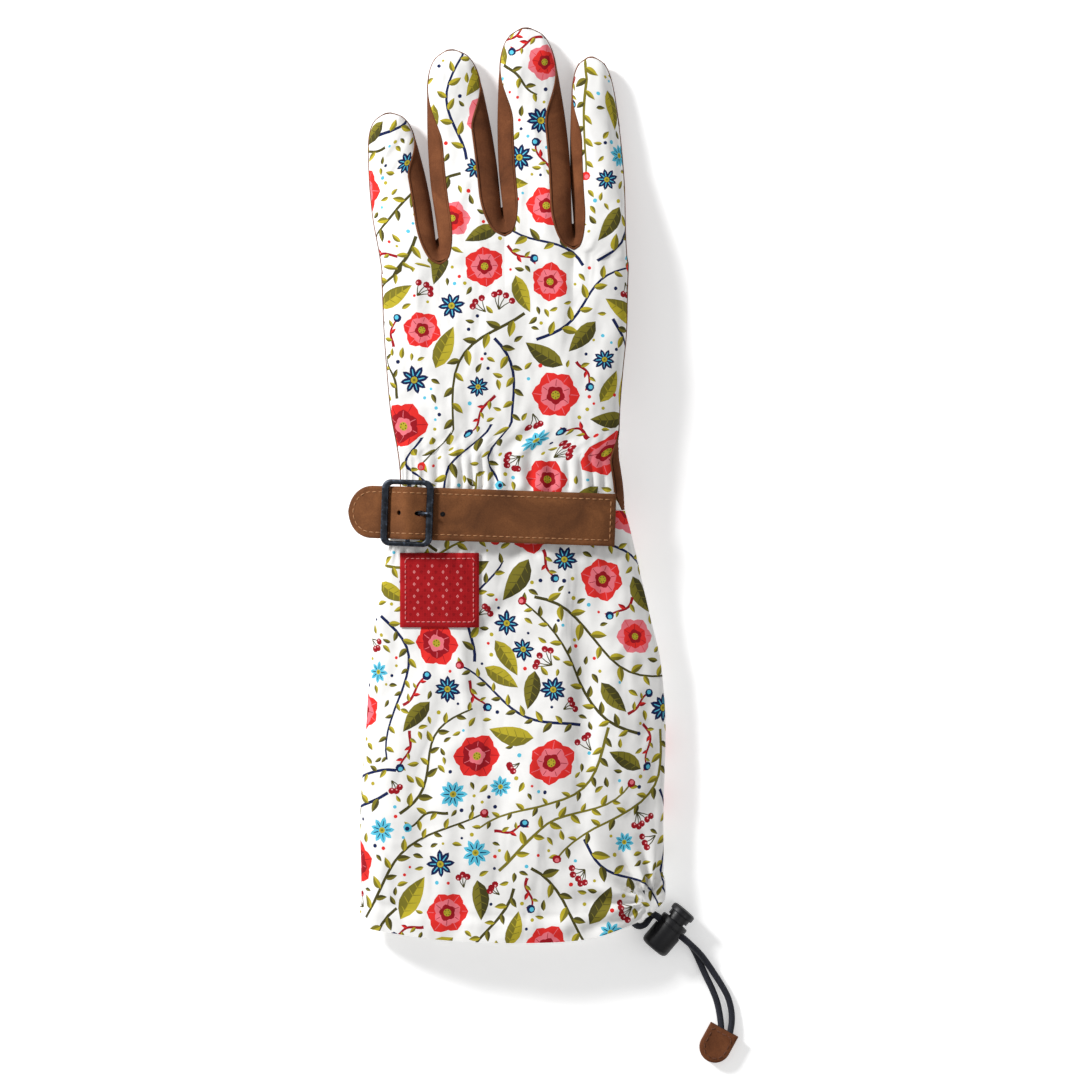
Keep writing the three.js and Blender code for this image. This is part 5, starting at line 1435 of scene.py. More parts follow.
def side_strip(lower, upper, name):
    """The strip of suede between two fingers."""
    share = np.linspace(0, 1, 9)
    stops = np.concatenate([[0.04], np.linspace(0.13, SIDE_STRIP_END, 22)])

    def fork(inset_share):
        top = finger_point(lower, 0.0, 1.0, 1)
        return mix(top, finger_point(lower, 0.0, 1.0, -1), inset_share[..., None])

    def side(finger, along, edge):
        along, held = np.broadcast_arrays(along[:, None], share[None])
        start = mix(start_of(finger, edge, 1), start_of(finger, edge, -1), held)
        distance = mix(start, finger_frame(finger).length, along)

        def bare(where, at):
            top = edge_angle(finger, at, edge, 1) - STRIP_GAP_ANGLE
            bottom = edge_angle(finger, at, edge, -1) - STRIP_GAP_ANGLE
            turn = mix(top, -bottom, held)
            return bare_finger_point(finger, where, turn if edge > 0 else math.pi - turn)

        step = fork(held) - bare(start, 0 * along)
        return bare(distance, along) + step * fork_fade(distance - start)[..., None]

    seat = SEAM_GAP + mix(CLOTH, LEATHER, share) + FORK_LAP * LEATHER * share
    middle = fork(share) + np.stack([0 * seat, seat, 0 * seat], -1)
    route = np.concatenate([side(lower, stops[::-1], 1), middle[None], side(upper, stops, -1)])
    points = np.stack([spline(route[:, k], 130) for k in range(len(share))], 1)
    wall = np.broadcast_to(mix(CLOTH, LEATHER, share)[None], points.shape[:2]).ravel()
    panel = Panel(points.reshape(-1, 3), rolled_flat(points).reshape(-1, 2),
                  grid_faces(flat_grid(129, len(share) - 1), True), wall)
    sew_suede(name, panel)


for lower, upper in zip(FINGERS, FINGERS[1:]):
    side_strip(lower, upper, f"side_{lower.name}_{upper.name}")

# %% [markdown]
# ## The thumb
# The thumb folds over at the top of its hole and lies flat under the palm. Its sections turn about the
# hole's top edge through a quarter turn, and then run along the table.

# %% The thumb's shape
THUMB_BEND = 1.8
THUMB_LENGTH = 65.0
THUMB_HALF_WIDTH = 21.0
THUMB = table(
    "along sideways width thick",
    (0, 0, 0.93, 1), (0.25, -0.05, 0.99, 1), (0.5, -0.11, 1, 0.99), (0.7, -0.17, 0.94, 0.92),
    (0.85, -0.215, 0.8, 0.76), (0.94, -0.235, 0.6, 0.56), (0.985, -0.245, 0.33, 0.32), (1, -0.25, 0.1, 0.12),
)
THUMB_FRONT_REACH = 0.16
THUMB_GUSSET_REACH = 0.7
THUMB_TIP_LIFT = 0.12
thumb_axis = np.array([THUMB_LEAN, 1]) / math.hypot(THUMB_LEAN, 1)
thumb_pivot = np.array([HOLE_X, HOLE_Y]) + thumb_axis * (HOLE_HALF_LENGTH + THUMB_BEND)


def fold_point(share, angle):
    """A thumb's section in the fold, from level (0) to upright (1)."""
    turn = share ** 1.3 * math.pi / 2
    half = THUMB_HEIGHT / 2
    depth = half / np.hypot(np.sin(turn), half / HOLE_HALF_LENGTH * np.cos(turn))
    reach = mix(HOLE_HALF_WIDTH, THUMB_HALF_WIDTH * THUMB["width"][0], smooth(share))
    out = depth + THUMB_BEND - depth * up_of(angle)
    sideways = reach * across_of(angle)
    x = thumb_pivot[0] - thumb_axis[0] * out * np.cos(turn) + thumb_axis[1] * sideways
    y = thumb_pivot[1] - thumb_axis[1] * out * np.cos(turn) - thumb_axis[0] * sideways
    s = body_at(y)
    across = np.clip(body_across(x, y), -0.98, 0.98)
    palm_bottom = s.seam - s.down * up_of(angle_of(across))
    z = THUMB_HEIGHT + THUMB_BEND - out * np.sin(turn) \
        + (1 - smooth(1.5 * share)) * (palm_bottom - PALM_HEIGHT)
    return np.stack([x, y, np.maximum(z, 0)], -1)


def laid_point(along, angle):
    """A thumb's section beyond the fold, flat on the table."""
    def sideways_at(share):
        return THUMB_LENGTH * read(THUMB, "sideways", share)

    drift = (sideways_at(along + 0.02) - sideways_at(along - 0.02)) / (0.04 * THUMB_LENGTH)
    ahead = unit(thumb_axis + np.array([thumb_axis[1], -thumb_axis[0]]) * drift[..., None])
    reach = np.maximum(LEAST_REACH, THUMB_HALF_WIDTH * read(THUMB, "width", along))
    half = THUMB_HEIGHT / 2 * read(THUMB, "thick", along)
    sideways = reach * across_of(angle)
    forwards = THUMB_LENGTH * along
    rise = np.maximum(LEAST_RISE, half)
    return np.stack([
        thumb_pivot[0] + thumb_axis[0] * forwards + thumb_axis[1] * sideways_at(along)
        + ahead[..., 1] * sideways,
        thumb_pivot[1] + thumb_axis[1] * forwards - thumb_axis[0] * sideways_at(along)
        - ahead[..., 0] * sideways,
        np.maximum(half + THUMB_TIP_LIFT * (THUMB_HEIGHT / 2 - half) + rise * up_of(angle), 0),
    ], -1)


def thumb_panel(side, wall, seed):
    """The thumb's upper face (side 1) or lower face (side -1)."""
    columns = 40
    column = np.linspace(0, 1, columns + 1)[None]
    share = np.linspace(0, 1, 31)[:, None]
    along = np.linspace(0, 1, 49)[1:, None] ** 0.9
    folded = 1 - smooth(share - 0.3)
    root = np.concatenate([folded, 0.22 * (1 - along)])
    tip = np.concatenate([np.ones_like(share), smooth(5 * (1 - along))])
    seam = seam_angle(np.maximum(1.2, THUMB_HEIGHT / 2 * tip))
    left = math.pi + (THUMB_FRONT_REACH + THUMB_GUSSET_REACH * root) * tip
    right = -THUMB_FRONT_REACH * tip
    if side > 0:
        angle = mix(left - seam, right + seam, column)
    else:
        angle = mix(left + seam, 2 * math.pi + right - seam, column)
    count = len(share)
    points = np.concatenate([fold_point(share, angle[:count]), laid_point(along + 0 * column, angle[count:])])
    flat = rolled_flat(points).reshape(-1, 2)
    thin = 0.25 + 0.75 * smooth(np.concatenate([np.ones_like(share), (1 - along) / 0.07]))
    walls = np.broadcast_to(wall * thin, points.shape[:2]).ravel()
    relief = wrinkles(flat, seed, (14, 14, 0.45), (5, 6, 0.2))
    return Panel(points.reshape(-1, 3), flat, grid_faces(flat_grid(len(points) - 1, columns), side < 0),
                 walls, relief)


thumb_front = thumb_panel(1, LEATHER, 14)
thumb_back = thumb_panel(-1, CLOTH, 15)
sew_suede("thumb_front", thumb_front)
sew_print("thumb_back", thumb_back, 33)

# %% The forefinger's second layer
patch_along = np.linspace(TIP_PATCH_START, 0.965, 26)[:, None]
patch_across = -np.cos(math.pi * np.linspace(1, 7, 21)[None] / 8)
patch_points = finger_point(FINGERS[3], patch_along, patch_across, -1)
patch_quads = grid_faces(flat_grid(25, 20), True)
patch_points += (vertex_normals(patch_points.reshape(-1, 3), patch_quads)
                 * (SEAM_GAP + TIP_PATCH)).reshape(patch_points.shape)
patch = Panel(patch_points.reshape(-1, 3), rolled_flat(patch_points).reshape(-1, 2), patch_quads, TIP_PATCH)
finished(sew("fore_tip_suede", patch, SUEDE), "suede", "fore_tip_patch")

# %% [markdown]
# ## Strap and buckle
# The strap is sewn down at the thumb's side, crosses the wrist on top of the gathers, and weaves under,
# over and under the buckle's bars.

# %% The buckle's place
STRAP_SLOPE = -0.034
STRAP = 1.8
STRAP_END_X, STRAP_TAB = 46.5, 15.5
HOLE_PITCH, PRONG_PLACE, PUNCH_RADIUS = 9.65, 5.9, 1.1
BUCKLE_X, BUCKLE_LENGTH, BUCKLE_WIDTH, BUCKLE_BAR, BUCKLE_PLATE = -42.6, 22.8, 28.6, 3.1, 2.2
BUCKLE_TILT = 0.2
BAR_RADIUS, BAR_DROP, HOLDER = 1.0, 2.4, 1.0
STRAP_EASE = 0.6
BAR_X = (BUCKLE_LENGTH - BUCKLE_BAR) / 2


def strap_bed(x, y):
    """The height on which the strap lies."""
    heights = []
    for share in (-0.5, 0, 0.5):
        s = body_at(y + share * STRAP_WIDTH)
        across = np.clip(body_across(x, y + share * STRAP_WIDTH), -0.99, 0.99)
        heights.append(s.seam + s.up * up_of(angle_of(across)))
    return float(np.max(heights)) + GATHER_DEPTH + SEAM_GAP


buckle_matrix = (
    Matrix.Translation((BUCKLE_X, STRAP_Y + STRAP_SLOPE * BUCKLE_X,
                        strap_bed(BUCKLE_X, STRAP_Y) + BAR_DROP + BAR_RADIUS + SEAM_GAP + HOLDER))
    @ Matrix.Rotation(math.atan(STRAP_SLOPE), 4, "Z")
    @ Matrix.Rotation(-BUCKLE_TILT, 4, "Y")
)


def placed(points, matrix):
    """Points moved by a matrix."""
    return np.array([tuple(matrix @ Vector(p)) for p in np.reshape(points, (-1, 3)).tolist()])


# %% The strap
under_bar = -(BUCKLE_PLATE / 2 + STRAP_EASE + STRAP / 2)
over_centre = BAR_RADIUS + SEAM_GAP + HOLDER + STRAP_EASE + STRAP / 2 - BAR_DROP
between = mix(under_bar, over_centre, 0.55)
bed = []
for i in range(7):
    x = mix(STRAP_END_X, BUCKLE_X + BUCKLE_LENGTH, i / 6)
    y = STRAP_Y + STRAP_SLOPE * x
    bed.append((x, y, strap_bed(x, y) + STRAP / 2))
woven = [(BAR_X + 2.5, under_bar), (BAR_X, under_bar - 0.1), (BAR_X / 2, between), (0, over_centre),
         (-BAR_X / 2, between), (-BAR_X, under_bar - 0.1), (-BAR_X - 3, under_bar + 0.1),
         (-BUCKLE_LENGTH / 2 - STRAP_TAB * 0.55, under_bar - 0.9),
         (-BUCKLE_LENGTH / 2 - STRAP_TAB, under_bar - 2.6)]
line = spline([*bed, *placed([(x, 0, z) for x, z in woven], buckle_matrix)], 1200)
lengths = run_of(line)
STRAP_ROWS, STRAP_COLUMNS = 150, 20
whole = lengths[-1]
at = np.concatenate([np.linspace(0, whole - 12, STRAP_ROWS - 29),
                     whole - 12 * np.linspace(1, 0, 31)[1:] ** 1.6])
middle = np.stack([np.interp(at, lengths, line[:, k]) for k in range(3)], 1)
forward = unit(np.gradient(middle, axis=0))
cross = np.array([-STRAP_SLOPE, 1, 0]) / math.hypot(STRAP_SLOPE, 1)
strap_up = unit(np.cross(cross, forward))
half = STRAP_WIDTH / 2
left_over = np.maximum(whole - at, 0)
narrowing = np.where(left_over < half, np.sqrt(np.maximum(0.004, 1 - (1 - left_over / half) ** 2)), 1)
column = np.sin(np.linspace(-1, 1, STRAP_COLUMNS + 1) * 1.45) / math.sin(1.45)
strap_top = middle[:, None] + cross * (half * narrowing[:, None] * column[None])[..., None] \
    + strap_up[:, None] * STRAP / 2
strap_flat = np.stack([np.broadcast_to(at[:, None], strap_top.shape[:2]),
                       half * narrowing[:, None] * column[None]], -1).reshape(-1, 2)
from_side = half * narrowing[:, None] * (1 - np.abs(column))[None]
from_end = np.minimum(at, 99)[:, None] + 0 * from_side
round_off = 0.55 * (np.exp(-((from_side / 0.55) ** 2))
                    + np.exp(-((from_end / 0.5) ** 2)) * (from_side > 0.2))
stitch_groove = 0.22 * np.exp(-(((from_side - 2.4) / 0.7) ** 2)) * (left_over[:, None] > 8)
quads = grid_faces(flat_grid(len(at) - 1, STRAP_COLUMNS))
rounded = strap_top - strap_up[:, None] * (round_off + stitch_groove)[..., None]
strap_panel = Panel(rounded.reshape(-1, 3), strap_flat, quads,
                    (STRAP - 1.7 * round_off - stitch_groove).ravel())


def ring(along, radius, stretch):
    """A hole's outline at a place along the strap, stretched that way."""
    angles = np.linspace(0, 2 * math.pi, 20, endpoint=False)
    return np.stack([along + (radius + stretch / 2) * np.cos(angles), radius * np.sin(angles)], 1)


punched = []
for offset, stretch in ((PRONG_PLACE, 3.0), (PRONG_PLACE - HOLE_PITCH, 0), (PRONG_PLACE + HOLE_PITCH, 0)):
    spot = placed([(offset, 0, 0)], buckle_matrix)
    along = strap_panel.carried(strap_panel.flat, spot[:, :2], plan=True)[0][0]
    punched.append(ring(along, 1.25 if stretch else PUNCH_RADIUS, stretch))
finished(sew("strap_hide", strap_panel, STRAP_HIDE, holes=punched), "strap_leather", "strap")
# Painted shade: thin black discs just under the two open holes stand for the dark depth of the holes.
shades_under = []
for rim in punched[1:]:
    low_rim = strap_panel.carried(strap_panel.inner, rim) + (0, 0, 0.25)
    centre_point = low_rim.mean(0)
    low_rim = centre_point + (low_rim - centre_point) * 1.3
    count = len(low_rim)
    shades_under.append((np.concatenate([low_rim, low_rim - (0, 0, 0.15)]), [
        tuple(range(count)), tuple(range(count, 2 * count))[::-1],
        *((i, count + i, count + (i + 1) % count, (i + 1) % count) for i in range(count))]))

# %% [markdown]
# The frame is cast with rounded bars. Each place round it has a section that spans from the window's edge
# to the outer edge.

# %% The buckle's frame and prong
def rounded_rectangle(width, height, radius, count=14):
    """A rectangle's outline with round corners."""
    made = []
    for quarter, (sx, sy) in enumerate([(1, 1), (-1, 1), (-1, -1), (1, -1)]):
        middle = (sx * (width / 2 - radius), sy * (height / 2 - radius))
        for angle in np.linspace(quarter, quarter + 1, count) * math.pi / 2:
            made.append((middle[0] + radius * math.cos(angle), middle[1] + radius * math.sin(angle)))
    return np.array(made)


def loop_faces(rows, columns, closed_rows=True):
    """Faces of a tube: rows round or along it, columns round its section."""
    faces = []
    for i in range(rows if closed_rows else rows - 1):
        for j in range(columns):
            a, b = i * columns + j, i * columns + (j + 1) % columns
            c = ((i + 1) % rows) * columns + (j + 1) % columns
            faces.append((a, b, c, ((i + 1) % rows) * columns + j))
    return faces


def closed_stack(rows, columns):
    """Faces of a stack of rings that is closed at both ends."""
    last = (rows - 1) * columns
    ends = [tuple(range(columns)), tuple(range(last, last + columns))]
    return [*loop_faces(rows, columns, closed_rows=False), *ends]


def tidy_normals(made, angle=50):
    """Turns a plain solid's faces outwards and shades it smooth but for its sharp edges."""
    work = bmesh.new()
    work.from_mesh(made.data)
    bmesh.ops.recalc_face_normals(work, faces=work.faces)
    work.to_mesh(made.data)
    work.free()
    made.data.shade_smooth()
    made.data.set_sharp_from_angle(angle=math.radians(angle))
    return made


def tube(points, radii, sides=16):
    """A closed tube along points, with a radius at each."""
    points, radii = np.asarray(points, float), np.broadcast_to(radii, len(points))
    ahead = unit(np.gradient(points, axis=0))
    side = unit(np.cross(ahead, (0.31, 0.17, 0.93)))
    up = np.cross(side, ahead)
    angles = np.linspace(0, 2 * math.pi, sides, endpoint=False)[None, :, None]
    around = side[:, None] * np.cos(angles) + up[:, None] * np.sin(angles)
    rings = points[:, None] + radii[:, None, None] * around
    return rings.reshape(-1, 3), closed_stack(len(points), sides)


def merged(*parts):
    """Several (points, faces) as one."""
    points, faces, count = [], [], 0
    for some, theirs in parts:
        faces += [tuple(k + count for k in face) for face in theirs]
        points.append(some)
        count += len(some)
    return np.concatenate(points), faces


outside = rounded_rectangle(BUCKLE_LENGTH, BUCKLE_WIDTH, 4)
window = rounded_rectangle(BUCKLE_LENGTH - 2 * BUCKLE_BAR, BUCKLE_WIDTH - 1.4 * BUCKLE_BAR, 2)
phi = np.linspace(0, 2 * math.pi, 20, endpoint=False)
wide, tall = power(np.cos(phi), 0.75), power(np.sin(phi), 0.75)
centre, reach = (outside + window) / 2, (outside - window) / 2
section = np.concatenate([
    centre[:, None] + reach[:, None] * wide[None, :, None],
    np.broadcast_to(BUCKLE_PLATE / 2 * tall[None, :, None], (len(centre), 20, 1))], -1)
span = BUCKLE_WIDTH / 2 - 0.35 * BUCKLE_BAR
frame_parts = [(section.reshape(-1, 3), loop_faces(len(centre), 20))]
frame_parts.append(tube([(0, y, -BAR_DROP) for y in np.linspace(-span, span, 9)], BAR_RADIUS))
for side in (-1, 1):
    post = [(0, side * (span - 0.2), z) for z in np.linspace(-BAR_DROP - 0.6, 0, 5)]
    frame_parts.append(tube(post, BAR_RADIUS))
frame_points, frame_faces = merged(*frame_parts)
buckle = make_object("buckle_frame_cast", placed(frame_points, buckle_matrix), frame_faces, GUNMETAL)
finished(tidy_normals(buckle), "gunmetal", "buckle_frame")

PRONG_RADIUS = 0.75
eye_radius = BAR_RADIUS + SEAM_GAP
top = BUCKLE_PLATE / 2 + PRONG_RADIUS + 0.1
tongue = spline([(eye_radius + 0.3, 0, -BAR_DROP + 0.2), (PRONG_PLACE - 1.6, 0, -1.1),
                 (PRONG_PLACE + 0.8, 0, 0.9), (BAR_X * 0.9, 0, top), (BAR_X + 1.6, 0, top + 0.15)], 40)
past = np.clip((np.linspace(0, 1, 40) - 0.93) / 0.075, 0, 1)
taper = PRONG_RADIUS * np.sqrt(np.clip(1 - past**2, 0.02, 1))
wire = 0.45
turns = np.linspace(0, 2 * math.pi, 33)
eye = [((eye_radius + wire) * math.cos(a), 0, -BAR_DROP + (eye_radius + wire) * math.sin(a)) for a in turns]
prong_points, prong_faces = merged(tube(tongue, taper), tube(eye, wire, 10))
prong = make_object("buckle_prong_wire", placed(prong_points, buckle_matrix), prong_faces, GUNMETAL)
finished(tidy_normals(prong), "gunmetal", "buckle_prong")

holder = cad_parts["buckle_holder"]
holder.data.materials.clear()
holder.data.materials.append(STRAP_HIDE)

# %% [markdown]
# ## The label
# A damask label lies on the cuff's folds. Its lattice of pale diamonds is woven in, so it is an ink on the
# label's flat. Its border is sewn.

# %% The label
LABEL_CELLS = 40
lx = LABEL.x + LABEL.width * (np.linspace(0, 1, LABEL_CELLS + 1)[None] - 0.5) + np.zeros((LABEL_CELLS + 1, 1))
ly = LABEL.y + LABEL.height * (np.linspace(0, 1, LABEL_CELLS + 1)[:, None] - 0.5) + 0 * lx
back_there = cuff_back.carried(cuff_back.outer, np.stack([lx, ly], -1).reshape(-1, 2), plan=True)[:, 2]
edge_near = np.minimum(LABEL.width / 2 - np.abs(lx - LABEL.x),
                       LABEL.height / 2 - np.abs(ly - LABEL.y)).ravel()
label_z = back_there + 0.5 + 0.9 * smooth(edge_near / 1.6 + 0.45)
label_points = np.stack([lx.ravel(), ly.ravel(), label_z], 1)
label_flat = np.stack([lx.ravel() - LABEL.x, ly.ravel() - LABEL.y], 1)
label_panel = Panel(label_points, label_flat, grid_faces(flat_grid(LABEL_CELLS, LABEL_CELLS)), 0.8)
lattice = []
for i in range(-4, 5):
    for j in range(-4, 5):
        x, y = 3.1 * i + (1.55 if j % 2 else 0), 2.6 * j
        if abs(x) < 12.6 and abs(y) < 11.6:
            tone = "thread pale" if (i + j) % 2 else "thread dark"
            lattice.append((tone, [(x - 0.62, y), (x, y - 0.8), (x + 0.62, y), (x, y + 0.8)]))
            lattice.append(("thread red", [(x - 0.24, y), (x, y - 0.32), (x + 0.24, y), (x, y + 0.32)]))
finished(sew("label_weave", label_panel, LABEL_FINISH, "thread red", "thread dark", shapes=lattice),
         "woven_label", "label")

# %% [markdown]
# ## Stitches and seams
# Each stitch is a short bead of thread that dips at its ends. A line of stitches is given in a panel's
# flat places and carried to its surface.

# %% Stitches
def resampled(points, step):
    """Points at even steps along a line."""
    points = np.asarray(points, float)
    run = run_of(points)
    stops = np.arange(step / 2, run[-1], step)
    return np.stack([np.interp(stops, run, points[:, k]) for k in range(points.shape[1])], 1)


def stitch_line(panel, places, stitch, gap, radius):
    """Beads of thread along flat places of a panel."""
    parts = []
    spots = resampled(places, stitch + gap)
    ahead = unit(np.gradient(spots, axis=0))
    ends = np.concatenate([spots - ahead * stitch / 2, spots + ahead * stitch / 2])
    surface, normals = panel.carried(panel.outer, ends), panel.carried(panel.normals, ends)
    count = len(spots)
    for k in range(count):
        a, b, n = surface[k], surface[count + k], normals[k]
        lift = [-0.5, 0.25, 0.75, 0.8, 0.75, 0.25, -0.5]
        line = [mix(a, b, t) + n * radius * h for t, h in zip(np.linspace(0, 1, 7), lift)]
        parts.append(tube(line, radius * np.array([0.55, 0.95, 1, 1, 1, 0.95, 0.55]), 6))
    return parts


def stitched(name, material, slot_name, *lines):
    """Lines of thread as one piece."""
    points, faces = merged(*(part for line in lines for part in line))
    made = make_object(name, points, faces, material)
    made.data.shade_smooth()


# Black discs of painted shade under the strap's two open holes.
make_object("strap_hole_painted_shade", *merged(*shades_under), PLASTIC)
STRAP_STITCH = (1.9, 0.9, 0.22)  # length, gap and the thread's radius
SEAM_SIDE, SEAM_INSET = 8.7, 2.6
tab_curve = [(half - whole - (half - SEAM_INSET) * math.sin(a), -(half - SEAM_INSET) * math.cos(a))
             for a in np.linspace(0, math.pi, 24)]
strap_seams = [
    [(-SEAM_INSET, -SEAM_SIDE), (16.5 - whole, -SEAM_SIDE)],
    [(-SEAM_INSET, SEAM_SIDE), (16.5 - whole, SEAM_SIDE)],
    [(-2.4, -8.4), (-2.4, 8.4)],
    [(15.5 - whole, -SEAM_SIDE), *tab_curve, (15.5 - whole, SEAM_SIDE)],
]
stitched("strap_stitches", TAN_THREAD, "strap_leather",
         *(stitch_line(strap_panel, seam, *STRAP_STITCH) for seam in strap_seams))

BORDER_INSET = 2.4
side, top_side = LABEL.width / 2 - BORDER_INSET, LABEL.height / 2 - BORDER_INSET
border = [(-side, -top_side), (side, -top_side), (side, top_side), (-side, top_side), (-side, -top_side)]
LABEL_THREAD = thread_material("label thread", light(196, 84, 86), light(226, 146, 144), 3000.0)
stitched("label_stitches", LABEL_THREAD, "woven_label", stitch_line(label_panel, border, 1.5, 0.7, 0.24))

# %% [markdown]
# A welt of suede cord lies along each seam of the back, and hides where cloth and hide meet.

# %% Welts
def welt(panel, keep, radius=0.55, sink=0.15):
    """Tubes along the stretches of a panel's edge that are kept."""
    loop = edge_loops(panel.quads.tolist())[0]
    kept = [keep(panel.outer[k]) for k in loop]
    start = kept.index(False) if False in kept else 0
    parts, run = [], []
    for i in range(len(loop) + 1):
        k = loop[(start + i) % len(loop)]
        if i < len(loop) and kept[(start + i) % len(loop)]:
            run.append(panel.outer[k] - panel.normals[k] * sink)
        elif len(run) > 3:
            parts.append(tube(resampled(run, 1.2), radius, 8))
            run = []
    return parts


stitched("seam_welts", SUEDE, "suede", welt(hand_back, lambda p: p[1] > 6))

# %% [markdown]
# ## Cord lock and tab
# The lock's barrel and plunger are turned shapes with a slot through both for the strands. The plunger's
# piece rides on its own body, so that it moves when the lock is pressed.

# %% The cord lock
BARREL_RADIUS, BARREL_WALL, BARREL_LENGTH, BARREL_FLOOR, BARREL_LIP = 6.5, 1.4, 15.5, 2.0, 3.6
BORE = BARREL_RADIUS - BARREL_WALL
LOCK_PLACE, LOCK_TURN, LOCK_SHARP = (70.5, -180.0), 0.873, 30
STRAND_GAP, SLOT_EASE = 0.3, 0.3
lock_matrix = Matrix.Translation((*LOCK_PLACE, BARREL_RADIUS)) @ Matrix.Rotation(LOCK_TURN, 4, "Z")
slot_half_height = 2 * CORD_RADIUS + STRAND_GAP / 2 + SLOT_EASE
slot_half_width = CORD_RADIUS + SLOT_EASE


def lathe(profile, sides=72):
    """A closed solid turned about X from (radius, x) pairs whose first and last lie on the axis."""
    points = [(profile[0][1], 0, 0)]
    angles = np.linspace(0, 2 * math.pi, sides, endpoint=False)
    for radius, x in profile[1:-1]:
        points += [(x, radius * math.cos(a), radius * math.sin(a)) for a in angles]
    points.append((profile[-1][1], 0, 0))
    rows = len(profile) - 2
    last, first = len(points) - 1, 1 + (rows - 1) * sides
    faces = [(0, 1 + (j + 1) % sides, 1 + j) for j in range(sides)]
    faces += [tuple(1 + k for k in face) for face in loop_faces(rows, sides, closed_rows=False)]
    faces += [(last, first + j, first + (j + 1) % sides) for j in range(sides)]
    return np.array(points, float), faces


def slotted(name, profile, low, high, body, node):
    """A turned piece of the lock with the strands' slot cut through it."""
    points, faces = lathe(profile)
    made = tidy_normals(make_object(name, placed(points, lock_matrix), faces, PLASTIC, body), LOCK_SHARP)
    corners = [(x, y, z) for x in (low, high) for y in (-14, 14)
               for z in (-slot_half_height, slot_half_height)]
    box = bpy.data.meshes.new(name + " slot")
    box.from_pydata(metres(placed(corners, lock_matrix)).tolist(), [],
                    [(0, 1, 3, 2), (4, 6, 7, 5), (0, 4, 5, 1), (2, 3, 7, 6), (0, 2, 6, 4), (1, 5, 7, 3)])
    cutter = in_scene(name + " slot", box)
    tidy_normals(cutter)
    cut = made.modifiers.new("slot", "BOOLEAN")
    cut.operation, cut.solver, cut.object = "DIFFERENCE", "EXACT", cutter
    bpy.context.view_layer.update()
    done = bpy.data.meshes.new_from_object(made.evaluated_get(bpy.context.evaluated_depsgraph_get()))
    made.modifiers.clear()
    made.data = done
    bpy.data.objects.remove(cutter)
    done.set_sharp_from_angle(angle=math.radians(LOCK_SHARP))
    finished(made, "lock_plastic", node)


mouth, end = BARREL_LIP, BARREL_LIP - BARREL_LENGTH
slotted("lock_barrel_moulding", [
    (0, end), (4.2, end), (5.3, end + 0.25), (6.1, end + 0.9), (BARREL_RADIUS, end + 1.9),
    (BARREL_RADIUS, mouth - 3.6), (6.25, mouth - 3.4), (6.25, mouth - 3.0), (BARREL_RADIUS, mouth - 2.8),
    (BARREL_RADIUS, mouth - 0.6), (6.3, mouth - 0.2), (5.9, mouth), (BORE, mouth), (BORE, end + BARREL_FLOOR),
    (0, end + BARREL_FLOOR),
], -slot_half_width, slot_half_width, "glove", "lock_barrel")
stem, travel = BORE - 0.3, 3.0
shoulder = mouth + travel + 0.4
foot = end + BARREL_FLOOR + travel + 1
slotted("lock_plunger_moulding", [
    (0, foot), (stem, foot), (stem, shoulder), (5.3, shoulder), (5.6, shoulder + 0.3), (5.6, shoulder + 2.0),
    (5.3, shoulder + 2.6), (4.6, shoulder + 2.95), (3.8, shoulder + 3.0), (3.4, shoulder + 2.7),
    (0, shoulder + 2.6),
], -slot_half_width, slot_half_width + travel, "plunger", "lock_plunger")

# %% [markdown]
# The end tab is two layers of hide, sewn round the strands' ends.

# %% The end tab
TAB_WIDTH, TAB_LENGTH, TAB_THICKNESS, TAB_TURN, TAB_LAP = 13.5, 15.5, 4.6, -0.5, 5.6
tab_ends = np.array([CORD_ROUTES[name][-1] for name in CORD_ROUTES], float).mean(0)
tab_place = (tab_ends[0], tab_ends[1] + TAB_LAP)
radius = TAB_WIDTH / 2


def tab_outline(inset, level):
    """The tab's outline at a level, drawn in from its edge."""
    r = radius - inset
    bottom = [(r * math.cos(a), -TAB_LENGTH + radius + r * math.sin(a))
              for a in np.linspace(math.pi, 2 * math.pi, 30)]
    sides = [(r, y) for y in np.linspace(-TAB_LENGTH + radius, -inset, 8)[1:]]
    top = [(x, -inset) for x in np.linspace(r, -r, 12)[1:-1]]
    plan = turned([*bottom, *sides, *top, *[(-x, y) for x, y in sides[::-1]]], TAB_TURN, tab_place)
    return np.column_stack([plan, np.full(len(plan), level)])


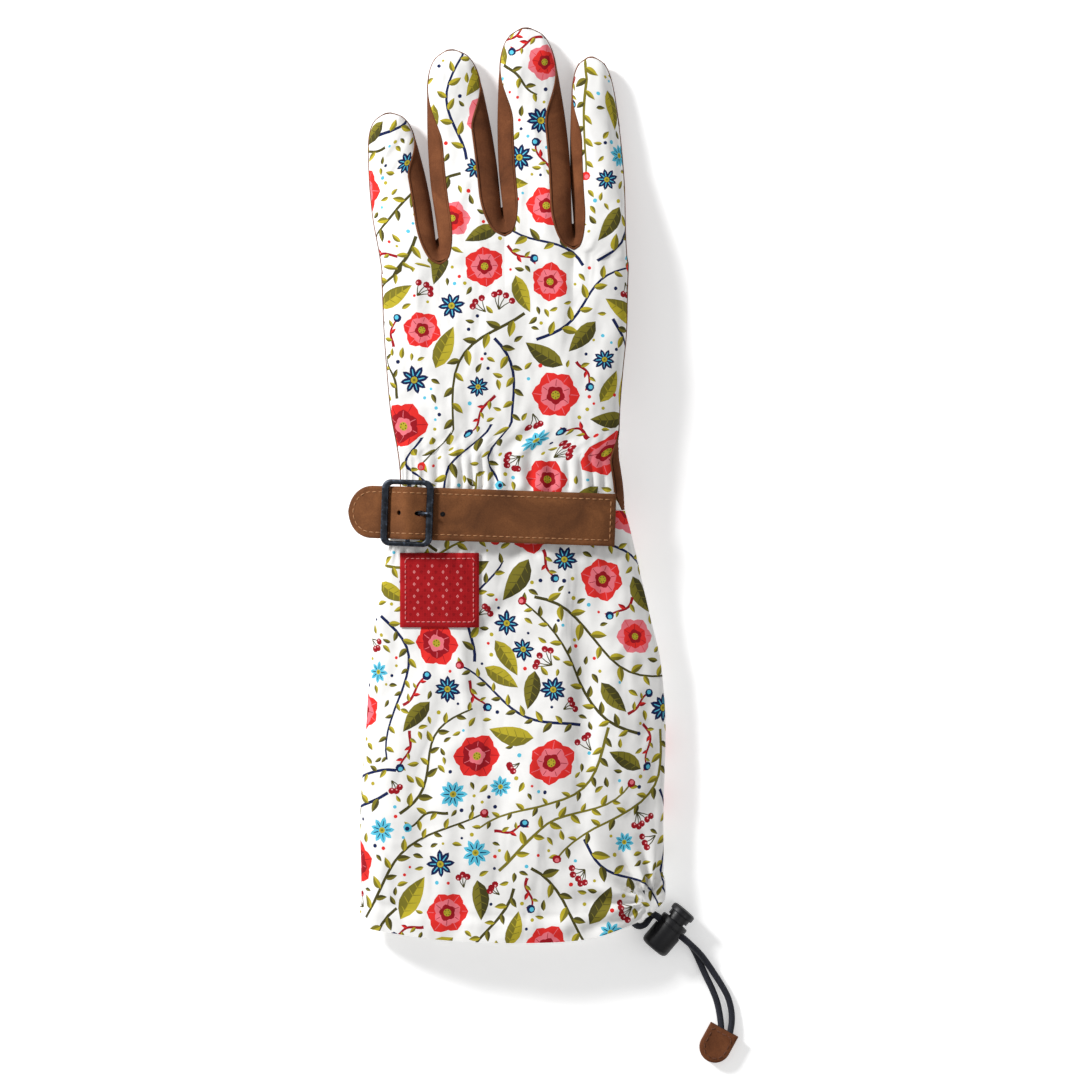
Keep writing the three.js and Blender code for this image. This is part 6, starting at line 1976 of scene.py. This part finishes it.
levels = [(1.6, 0.0), (0.5, 0.12), (0.1, 0.6), (0, 1.2), (0.1, 1.8), (0.45, 2.2), (0.1, 2.6), (0, 3.2),
          (0.1, 3.9), (0.5, 4.4), (1.6, 4.6), (3.2, 4.55), (5.0, 4.5), (6.4, 4.5)]
rings = [tab_outline(inset, level) for inset, level in levels]
tab = make_object("cord_tab_hide", np.concatenate(rings), closed_stack(len(rings), len(rings[0])), SUEDE)
finished(tidy_normals(tab), "suede", "cord_tab")
tab_seam = tab_outline(2.0, TAB_THICKNESS)
tab_spots = resampled([*tab_seam, tab_seam[0]], 2.7)
tab_parts = []
for spot, ahead in zip(tab_spots, np.gradient(tab_spots, axis=0)):
    ahead = unit(ahead) * 0.9
    bead = [spot + ahead * t + (0, 0, 0.16 * (1 - t * t) - 0.05) for t in np.linspace(-1, 1, 6)]
    tab_parts.append(tube(bead, 0.26, 6))
stitched("tab_stitches", BROWN_THREAD, "suede", tab_parts)

# %% [markdown]
# ## Table and light
# The photograph has a white ground and soft light from a large window at the upper left, with a weak
# shadow close to the glove. The table is clear from beneath, so that the palm side can be seen. Colours
# are shown as plain screen values, as the inks are written.

# %% Table, lamps and world
floor_mesh = bpy.data.meshes.new("table")
TABLE_REACH = 3.0
table_corners = [(TABLE_REACH * x, TABLE_REACH * y, 0) for x, y in ((-1, -1), (1, -1), (1, 1), (-1, 1))]
floor_mesh.from_pydata(table_corners, [], [(0, 1, 2, 3)])
floor = in_scene("table", floor_mesh)
floor.location.z = -0.4 * MM
TABLE, table_tree, table_shader = new_material(
    "white table", Base_Color=light(252, 252, 252), Roughness=0.9, Emission_Color=(1, 1, 1, 1),
    Emission_Strength=0.34)
beneath = add_node(table_tree, "ShaderNodeNewGeometry").outputs["Backfacing"]
above = maths(table_tree, "SUBTRACT", 1.0, beneath)
table_tree.links.new(above, table_shader.inputs["Alpha"])
floor_mesh.materials.append(TABLE)


def lamp(name, place, size, watts):
    """A square area lamp that faces the glove."""
    data = bpy.data.lights.new(name, "AREA")
    data.size, data.energy = size, watts
    made = in_scene(name, data)
    made.location = place
    made.rotation_euler = (-Vector(place)).to_track_quat("-Z", "Y").to_euler()


lamp("window", (-1.25, 0.95, 0.92), size=0.4, watts=41)
lamp("fill", (0.9, -0.5, 1.3), size=1.2, watts=5)
world = bpy.data.worlds.new("studio")
bpy.context.scene.world = world
world.use_nodes = True
world.node_tree.nodes["Background"].inputs["Color"].default_value = (1, 1, 1, 1)
world.node_tree.nodes["Background"].inputs["Strength"].default_value = 0.33
bpy.context.scene.view_settings.view_transform = "Standard"
